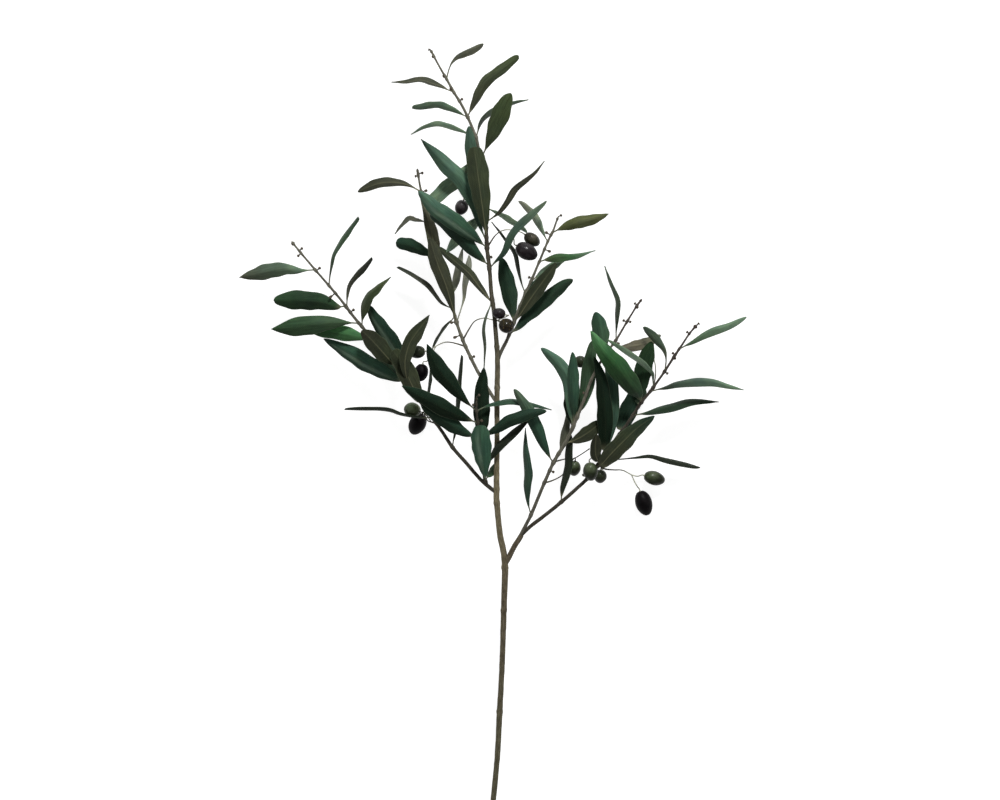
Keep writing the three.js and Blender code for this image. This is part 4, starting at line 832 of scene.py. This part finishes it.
woodTones = linearTones({
    "stemFoot": (80, 77, 63), "stemLow": (88, 85, 69), "stemFork": (90, 83, 70), "stemMid": (122, 115, 93),
    "stemHigh": (85, 82, 71), "twigPale": (104, 103, 93), "twigGrey": (86, 85, 78),
    "twigDark": (62, 60, 53), "twigMauve": (76, 69, 66), "twigKnot": (66, 62, 56), "bud": (92, 84, 74),
    "stalkFoot": (72, 68, 56), "stalkPale": (180, 183, 168), "stalkDark": (58, 56, 46),
    "cut": (196, 176, 134),
})


def anglesRound(sides):
    return np.linspace(0, fullTurn, sides, endpoint=False)[None, :]


def ripples(angle, along, chance):
    # a sum of six sines round and along the wood
    waves = woodShape["ripples"]
    total = 0
    for turns, reach in waves:
        total = total + np.sin(turns * angle + along / reach * fullTurn + chance.uniform(0, phaseSpan))
    return total / len(waves)


def addWood(skins, rows, start, end, colours, knots, chance, tipBud=False, cutFoot=False, flatBelow=False):
    # rings along the route, with a bell-shaped swelling at each knot and, if asked, at the bud of the tip
    shape = woodShape
    whole = lengthRun(rows)[-1]
    first, last = shareAt(rows, start), shareAt(rows, end)
    shares = np.linspace(first, last, max(6, int((last - first) * whole / shape["step"])))
    if cutFoot:
        shares = np.concatenate([np.full(len(shape["cutRadii"]), first), shares])
    if tipBud:
        bud = np.linspace(1 - shape["budLength"] / whole, 1, shape["budRings"])
        shares = np.concatenate([shares[shares < bud[0] - 1 / whole], bud])
    t = evenPlaces(rows, shares)
    radius = np.interp(t, np.linspace(0, 1, len(rows)), [row[3] for row in rows])
    along = shares * whole
    for knot in knots:
        gap = along - shareAt(rows, knot) * whole
        radius = radius + shape["swelling"] * np.exp(-((gap / shape["swellingReach"]) ** 2))
    if tipBud:
        left = whole - along
        swell, place, wide = shape["budSwelling"]
        swelling = 1 + swell * np.exp(-(((left - place) / wide) ** 2))
        radius = radius * swelling * np.sqrt(ease(*shape["budEnd"], left))
    radius, along = radius[:, None], along[:, None]
    angle = anglesRound(shape["sides"])
    reach = radius * (1 + shape["ripple"] * ripples(angle, along, chance))
    if cutFoot:
        reach[: len(shape["cutRadii"])] *= np.array(shape["cutRadii"])[:, None]
    rings, grain = tube(rows, t, angle, reach, radius, along)
    marks = np.zeros(rings.shape)
    if cutFoot:
        cut, centre = len(shape["cutDepth"]), curveAt(rows, t)
        back = (centre[6] - centre[4]) / np.linalg.norm(centre[6] - centre[4])
        rings[:cut] = rings[:cut] - back * np.array(shape["cutDepth"])[:, None, None]
        marks[:cut, :, 0] = 1
    if flatBelow:
        rings[..., 2] = np.maximum(rings[..., 2], 0)
    tone = toneRun(shares, np.linspace(first, last, len(colours)), colours)
    skins.add(rings, tone[:, None], grain, marks)


def addThin(skins, points, shares, radii, colours, chance):
    # a thin round skin along a curve, with its own radius at each share of the length
    evenly = np.linspace(0, 1, max(8, len(points) * thinShape["rings"]))
    fine = np.unique(np.concatenate([evenly, shares]))
    radius, along = np.interp(fine, shares, radii)[:, None], fine[:, None]
    angle = anglesRound(thinShape["sides"])
    twist = along * thinShape["twist"] + chance.uniform(0, 6)
    ripple = thinShape["ripple"] * np.sin(thinShape["ridges"] * angle + twist)
    reach, length = radius * (1 + ripple), lengthRun(points)[-1]
    rings, grain = tube(points, evenPlaces(points, fine), angle, reach, radius, along * length)
    skins.add(rings, toneRun(fine, np.linspace(0, 1, len(colours)), colours)[:, None], grain)


def addSpur(skins, wood, tip, colour, chance):
    # a short neck that swells into a blunt bud
    base, tip = spotOn(wood, tip), np.array(tip, float)
    colours = [colour, colour, woodTones["bud"], woodTones["bud"]]
    addThin(skins, [base, (base + tip) / 2, tip], spurShape["shares"], spurShape["radii"], colours, chance)


def addStalk(skins, wood, stalk, colour, endColour, chance):
    fruit, start, *points = stalk
    shape, onWood = stalkShape, len(start) == 2
    points = [spotOn(wood, start) if onWood else start] + points
    if fruit:
        # two places on the olive's axis, just clear of the dimple at its stalk end
        long, _, centre, direction, _ = olives[fruit]
        for clear in shape["clear"]:
            points.append(np.array(centre) + unit(direction) * (long / 2 - oliveShape["dimple"] + clear))
    length = lengthRun(points)[-1]
    foot = shape["foot" if onWood else "fork"]
    afterFoot, beforeFlare, flare = (reach / length for reach in shape["reaches"])
    shares = (0, afterFoot, 0.3, 0.6, 1 - beforeFlare, 1 - flare, 1)
    radii = (foot, shape["afterFoot"] * foot, *shape["radii"], shape["flare" if fruit else "bareEnd"])
    footColours = [colour, woodTones["stalkFoot"]] if onWood else []
    addThin(skins, points, shares, radii, footColours + [endColour, endColour], chance)


# Olives.

oliveShape = {
    "rings": 40,
    "sides": 48,
    "pole": 0.02,  # angle left open round each pole
    "fullness": 0.96,
    "lumps": (0.012, 0.01),  # how far the body is out of round, in two lobes and in three
    "dimple": 0.9,
    "dimpleWidth": 1.7,
    "tip": 0.45,
    "tipWidth": 0.9,
    "pinch": 0.12,
    "pinchPower": 1.5,
    "middle": 1.5,  # angle from the stalk end at which the dimple's half ends and the tip's begins
    "grainSpread": 90,
}
oliveTones = {  # finish, and colours at the far end, in the middle, at the stalk end and of the painted highlight
    "black": ("ripeOliveSkin", (19, 17, 19), (26, 23, 25), (32, 28, 29), (64, 62, 63)),
    "purple": ("dullOliveSkin", (4, 3, 4), (6, 5, 6), (12, 9, 10), (10, 8, 9)),
    "dusky": ("ripeOliveSkin", (40, 38, 38), (52, 50, 50), (60, 56, 55), (88, 86, 88)),
    "russet": ("greenOliveSkin", (40, 38, 28), (54, 52, 39), (62, 60, 44), (126, 120, 108)),
    "green": ("greenOliveSkin", (24, 30, 18), (34, 42, 26), (48, 57, 36), (102, 116, 88)),
    "mottled": ("turningOliveSkin", (20, 18, 13), (32, 29, 21), (42, 40, 26), (46, 44, 32)),
    "young": ("greenOliveSkin", (62, 72, 50), (84, 96, 68), (94, 105, 76), (136, 158, 122)),
    "dark": ("greenOliveSkin", (22, 27, 17), (32, 39, 26), (42, 50, 33), (60, 70, 54)),
}
# painted light on the olives: the direction of the key lamp, and how strongly a highlight and a shade are
# painted into their colour
paintedLight = {"towards": (-0.1, 0.62, 0.78), "from": 0.45, "strength": 0.85, "shadeFrom": 0.75, "shade": 0.75}
greenOlives = ("olive_02", "olive_08", "olive_10", "olive_11", "olive_12", "olive_13", "olive_14")


def unit(vector):
    return np.array(vector) / np.linalg.norm(vector)


def makeOlive(name, olive, chance):
    # a long round body: the far end has a small point, the stalk end a dimple
    long, width, centre, direction, ripeness = olive
    shape, centre, axis = oliveShape, np.array(centre), unit(direction)
    sideways = unit(np.cross(axis, (0.1, 0.2, 1)))
    third = np.cross(axis, sideways)
    turn = np.linspace(np.pi - shape["pole"], shape["pole"], shape["rings"])[:, None]
    angle = anglesRound(shape["sides"])
    phase = chance.uniform(0, phaseSpan, 3)
    big, small = shape["lumps"]
    lumps = 1 + big * np.sin(2 * angle + phase[0]) + small * np.sin(3 * angle + phase[1] + 3 * turn)
    pinch = 1 - shape["pinch"] * np.clip(-np.cos(turn), 0, 1) ** shape["pinchPower"]
    radius = width / 2 * np.sin(turn) ** shape["fullness"] * lumps * pinch
    dimple = shape["dimple"] * np.exp(-((radius / shape["dimpleWidth"]) ** 2)) * (turn < shape["middle"])
    tip = shape["tip"] * np.exp(-((radius / shape["tipWidth"]) ** 2)) * (turn > shape["middle"])
    height = long / 2 * np.cos(turn) - dimple + tip
    rings = centre + axis * height[..., None] + sideways * (radius * np.cos(angle))[..., None]
    rings = rings + third * (radius * np.sin(angle))[..., None]
    rings[..., 2] = np.maximum(rings[..., 2], 0)

    # colour: from end to end, with painted shade darkening the side turned away from the key lamp, below,
    # and a painted highlight on the side that faces it
    finish, *colours = oliveTones[ripeness]
    *body, paintedHighlightTone = [linear(*screen) for screen in colours]
    outward = (rings - centre) / np.linalg.norm(rings - centre, axis=-1, keepdims=True)
    facing = outward @ np.array(paintedLight["towards"])
    paintedHighlight = paintedLight["strength"] * np.clip((facing - paintedLight["from"]) / (1 - paintedLight["from"]), 0, 1) ** 2
    paintedShade = 1 - paintedLight["shade"] * np.clip(paintedLight["shadeFrom"] - facing, 0, 1)
    tone = toneRun(0.5 + 0.5 * np.cos(turn), (0, 0.5, 1), body) * paintedShade[..., None]
    tone = tone + (paintedHighlightTone - tone) * paintedHighlight[..., None]
    skins = Skins()
    skins.add(rings, tone, rings - centre + chance.uniform(0, shape["grainSpread"], 3))
    slotName = "green_olive" if name in greenOlives else "ripe_olive"
    skins.build(name + "_fruit", [fruitSkins[finish]], slotName, name)


# Finishes.


def newMask(name, sockets):
    # a group with a place and the named numbers going in and a mask coming out
    tree = bpy.data.node_groups.new(name, "ShaderNodeTree")
    tree.interface.new_socket(name="Place", in_out="INPUT", socket_type="NodeSocketVector")
    for socket, value in sockets.items():
        made = tree.interface.new_socket(name=socket, in_out="INPUT", socket_type="NodeSocketFloat")
        made.default_value = value
    tree.interface.new_socket(name="Mask", in_out="OUTPUT", socket_type="NodeSocketFloat")
    nodes = Nodes(tree)
    return nodes, nodes.add("NodeGroupInput", {})


mottleShape = {"Roughness": 0.55, "Distortion": 0.3}
mottleContrast = (0.3, 0.7)


def buildMottle():
    # cloudy light and dark: noise with its contrast raised, 0 to 1
    nodes, given = newMask("mottle", {"Scale": 1.0, "Detail": 3.0})
    values = {"Vector": given["Place"], "Scale": given["Scale"], "Detail": given["Detail"]}
    noise = nodes.add("ShaderNodeTexNoise", {**values, **mottleShape})
    mask = nodes.ramp(noise["Fac"], *mottleContrast, 0.0, 1.0, "SMOOTHSTEP")
    nodes.add("NodeGroupOutput", {"Mask": mask})
    return nodes.tree


def buildSpecks():
    # small round dots, 1 in each dot and 0 between them
    nodes, given = newMask("specks", {"Scale": 1.0, "Size": 0.2})
    cells = nodes.add("ShaderNodeTexVoronoi", {"Vector": given["Place"], "Scale": given["Scale"]})
    dots = nodes.ramp(cells["Distance"], 0.0, given["Size"], 1.0, 0.0, "SMOOTHSTEP")
    nodes.add("NodeGroupOutput", {"Mask": dots})
    return nodes.tree


mottle = buildMottle()
specks = buildSpecks()


class Finish(Nodes):
    # a material that reads the skins' tone, grain and marks

    def __init__(self, name, look, gloss):
        self.material, self.shader = newMaterial(name)
        super().__init__(self.material.node_tree)
        self.shader["Roughness"].default_value = look["roughness"]
        self.shader["Specular IOR Level"].default_value = gloss
        self.tone = self.add("ShaderNodeAttribute", {}, attribute_name="tone")["Color"]
        self.grain = self.add("ShaderNodeAttribute", {}, attribute_name="grain")["Vector"]
        self.marks = self.axes(self.add("ShaderNodeAttribute", {}, attribute_name="marks")["Vector"])

    def cover(self, body, rough, height, strength, distance):
        self.feed(self.shader["Base Color"], body)
        self.feed(self.shader["Roughness"], rough)
        bump = {"Strength": strength, "Distance": distance, "Height": height}
        self.feed(self.shader["Normal"], self.add("ShaderNodeBump", bump)["Normal"])
        return self.material


leafLook = {
    "roughness": 0.46,
    "roughFrom": 0.41,  # in the streaks' dark parts, and what their light parts and the underside add
    "roughStreak": 0.14,
    "roughUnder": 0.14,
    "streak": {"stretch": (0.75, 0.07, 1.0), "Scale": 1.0, "Detail": 4.0},  # runs along the leaf
    "streakCloud": (0.55, (0.62, 0.62, 0.62), (1.32, 1.34, 1.3)),  # share, and darkest and lightest
    "patch": {"Scale": 0.09, "Detail": 2.0},
    "patchCloud": (0.5, (0.8, 0.86, 0.92), (1.22, 1.16, 1.02)),
    "fine": {"Scale": 1.6, "Detail": 3.0},
    "ribColour": (*linear(138, 136, 104), 1),
    "ribHalf": (0.25, 0.75),  # mm from the middle where the rib's line starts to fade and has gone
    "ribOver": 0.02,  # how plain the line is over the leaf, and how much plainer under it
    "ribUnder": 0.32,
    "ribEnd": 1.1,  # share of the length at which the line has faded
    "veinSlope": -1.5,  # side veins lean forwards, waver, and stand about 2.5 mm apart
    "veinWaver": 0.9,
    "veinBeat": 1.25,
    "veinWidth": 0.35,
    "veinShare": (0.3, 0.35),  # how plain the veins are, and how much of the rib's colour they take
    "edgeColour": (*linear(120, 138, 108), 1),
    "edge": (0.93, 1.0, 0.3),  # from where to where the pale margin runs, and how pale it is
    "relief": (0.35, 0.00035),
    "heights": (0.5, 0.6, 0.25),  # of the veins, the streaks and the fine mottle
}


def buildLeafFinish(name, gloss):
    look = leafLook
    finish = Finish(name, look, gloss)
    grain, marks, work = finish.grain, finish.marks, finish.work
    streak, patch, fine = (finish.mask(mottle, grain, **look[k]) for k in ("streak", "patch", "fine"))
    body = finish.clouded(finish.tone, streak, *look["streakCloud"])
    body = finish.clouded(body, patch, *look["patchCloud"])
    place = finish.axes(grain)
    across = work("ABSOLUTE", place[0])
    ribShare = work("MULTIPLY_ADD", marks[2], look["ribUnder"], look["ribOver"])
    rib = work("MULTIPLY", finish.ramp(across, *look["ribHalf"], 1.0, 0.0), ribShare)
    rib = work("MULTIPLY", rib, work("SUBTRACT", look["ribEnd"], marks[0]))
    body = finish.mix(rib, body, look["ribColour"])
    slope = work("MULTIPLY_ADD", across, look["veinSlope"], place[1])
    slope = work("ADD", slope, work("MULTIPLY", fine, look["veinWaver"]))
    vein = work("ABSOLUTE", work("SINE", work("MULTIPLY", slope, look["veinBeat"])))
    vein = work("POWER", vein, look["veinWidth"])
    veinShare, ribTint = look["veinShare"]
    veinMark = work("MULTIPLY", work("SUBTRACT", 1.0, vein), veinShare)
    body = finish.mix(veinMark, body, finish.mix(ribTint, body, look["ribColour"]))
    edgeFrom, edgeTo, edgePale = look["edge"]
    edge = finish.ramp(work("ABSOLUTE", marks[1]), edgeFrom, edgeTo, 0.0, edgePale)
    body = finish.mix(edge, body, look["edgeColour"])
    rough = work("MULTIPLY_ADD", streak, look["roughStreak"], look["roughFrom"])
    rough = work("MULTIPLY_ADD", marks[2], look["roughUnder"], rough)
    veinHeight, streakHeight, fineHeight = look["heights"]
    height = work("MULTIPLY_ADD", vein, veinHeight, work("MULTIPLY", streak, streakHeight))
    height = work("MULTIPLY_ADD", fine, fineHeight, height)
    return finish.cover(body, rough, height, *look["relief"])


barkLook = {
    "roughness": 0.72,
    "roughFrom": 0.78,
    "roughStreak": -0.16,
    "gloss": 0.1,
    "streak": {"stretch": (1.3, 0.16, 1.3), "Scale": 1.0, "Detail": 5.0},
    "streakCloud": (0.9, (0.55, 0.53, 0.5), (1.4, 1.38, 1.32)),
    "patch": {"Scale": 0.12, "Detail": 3.0},
    "patchCloud": (0.5, (0.74, 0.72, 0.7), (1.26, 1.26, 1.2)),
    "specks": {"stretch": (0.7, 0.42, 0.7), "Scale": 1.0, "Size": 0.24},
    "speckShare": 0.5,
    "speckColour": (*linear(150, 142, 120), 1),
    "speckHeight": 0.6,
    "ringColour": (*linear(120, 96, 62), 1),
    "rings": (9.0, 0.2, 0.25),  # of the cut face: how close, how dark, and how dark between them
    "relief": (0.6, 0.0005),
}


def buildBarkFinish():
    look = barkLook
    finish = Finish("bark", look, look["gloss"])
    grain, work = finish.grain, finish.work
    streak, patch = (finish.mask(mottle, grain, **look[k]) for k in ("streak", "patch"))
    dots = finish.mask(specks, grain, **look["specks"])
    body = finish.clouded(finish.tone, streak, *look["streakCloud"])
    body = finish.clouded(body, patch, *look["patchCloud"])
    body = finish.mix(work("MULTIPLY", dots, look["speckShare"]), body, look["speckColour"])
    # the cut end: pale wood with darker rings at even steps from the middle
    place = finish.axes(grain)
    radius = work("SQRT", work("ADD", work("POWER", place[0], 2.0), work("POWER", place[2], 2.0)))
    beat, dark, between = look["rings"]
    ring = work("MULTIPLY_ADD", work("SINE", work("MULTIPLY", radius, beat)), dark, between)
    body = finish.mix(finish.marks[0], body, finish.mix(ring, (*woodTones["cut"], 1), look["ringColour"]))
    rough = work("MULTIPLY_ADD", streak, look["roughStreak"], look["roughFrom"])
    height = work("MULTIPLY_ADD", dots, look["speckHeight"], streak)
    return finish.cover(body, rough, height, *look["relief"])


fruitLook = {
    "cloud": {"Scale": 0.16, "Detail": 3.0},
    "patch": {"Scale": 0.42, "Detail": 4.0},
    "patchCloud": (0.6, (0.66, 0.66, 0.66), (1.34, 1.32, 1.3)),
    "blushShare": 0.42,
    "bloomShare": 0.16,
    "pores": {"Scale": 2.6, "Size": 0.5},
    "poreHeight": -0.35,
    "roughDrop": 0.06,  # how much smoother than its own the clear parts are, and what the clouds add
    "roughCloud": 0.12,
    "relief": (0.05, 0.0004),
}
fruitKinds = {
    "dullOliveSkin": {
        "roughness": 0.5, "gloss": 0.09, "dots": {"Scale": 1.15, "Size": 0.2}, "dotShare": 0.36,
        "speck": (30, 24, 26), "bloom": (18, 15, 18), "blush": (16, 9, 11),
    },
    "ripeOliveSkin": {
        "roughness": 0.22, "gloss": 0.16, "dots": {"Scale": 1.15, "Size": 0.2}, "dotShare": 0.36,
        "speck": (48, 38, 38), "bloom": (40, 38, 44), "blush": (34, 18, 20),
    },
    "turningOliveSkin": {
        "roughness": 0.26, "gloss": 0.16, "dots": {"Scale": 0.62, "Size": 0.36}, "dotShare": 0.75,
        "speck": (140, 120, 74), "bloom": (62, 56, 40), "blush": (26, 18, 16),
    },
    "greenOliveSkin": {
        "roughness": 0.26, "gloss": 0.16, "dots": {"Scale": 1.15, "Size": 0.2}, "dotShare": 0.36,
        "speck": (96, 106, 70), "bloom": (70, 82, 54), "blush": (36, 32, 24),
    },
}


def buildFruitFinish(name, own):
    look = fruitLook
    finish = Finish(name, own, own["gloss"])
    grain, work = finish.grain, finish.work
    cloud, patch = (finish.mask(mottle, grain, **look[k]) for k in ("cloud", "patch"))
    dots, pores = (finish.mask(specks, grain, **values) for values in (own["dots"], look["pores"]))
    body = finish.clouded(finish.tone, patch, *look["patchCloud"])
    bloomShare = work("MULTIPLY", work("SUBTRACT", 1.0, patch), look["bloomShare"])
    for share, colour in (
        (work("MULTIPLY", cloud, look["blushShare"]), own["blush"]),
        (bloomShare, own["bloom"]),
        (work("MULTIPLY", dots, own["dotShare"]), own["speck"]),
    ):
        body = finish.mix(share, body, (*linear(*colour), 1))
    rough = work("MULTIPLY_ADD", cloud, look["roughCloud"], own["roughness"] - look["roughDrop"])
    height = work("MULTIPLY_ADD", pores, look["poreHeight"], patch)
    return finish.cover(body, rough, height, *look["relief"])


leafSkins = [buildLeafFinish(f"leafSkin{k}", gloss) for k, (_, gloss) in enumerate(leafColour["gloss"])]
bark = buildBarkFinish()
fruitSkins = {name: buildFruitFinish(name, own) for name, own in fruitKinds.items()}
print("finishes are built")

# The branch.

chance = np.random.default_rng(41)
stemSkins = Skins()
stemColours = [woodTones[name] for name in ("stemFoot", "stemLow", "stemFork", "stemMid", "stemHigh")]
addWood(stemSkins, mainAxis, 0, leaderStart, stemColours, stemKnots, chance, cutFoot=True, flatBelow=True)
addWood(stemSkins, rightArm, 0, 1, [woodTones["stemFork"]] * 2, [], chance)
stemSkins.build("stem_wood", [bark], "stem_bark", "main_stem")
print("stem is built")

leftShoots = (leftShoot, leftShortShoot)
for shoot in (leader, leftInnerShoot, rightSmallShoot, *leftShoots, rightOuterShoot, rightInnerShoot):
    node, rows, leaves, spurs, stalks = (shoot[k] for k in ("node", "route", "leaves", "spurs", "stalks"))
    blades, wood = Skins(), Skins()
    for leaf in leaves:
        addLeaf(blades, rows, leaf, chance)
    roots = [leaf[5] for leaf in leaves] + spurs + [stalk[1] for stalk in stalks if len(stalk[1]) == 2]
    knots = [nearestTo(rows, root) for root in roots]
    colours = [woodTones[name] for name in shoot["wood"]]
    addWood(wood, rows, shoot.get("start", 0), 1, colours, knots, chance, tipBud=True)
    for spur in spurs:
        addSpur(wood, rows, spur, colours[1], chance)
    for stalk in stalks:
        addStalk(wood, rows, stalk, colours[1], woodTones[shoot["stalk"]], chance)
    blades.build(node + "_leaves", leafSkins, "leafy_shoot", node)
    wood.build(node + "_wood", [bark], "stem_bark", node)
    print(node, "is built with", len(leaves), "leaves")

for name, olive in olives.items():
    makeOlive(name, olive, chance)
print("olives are built")
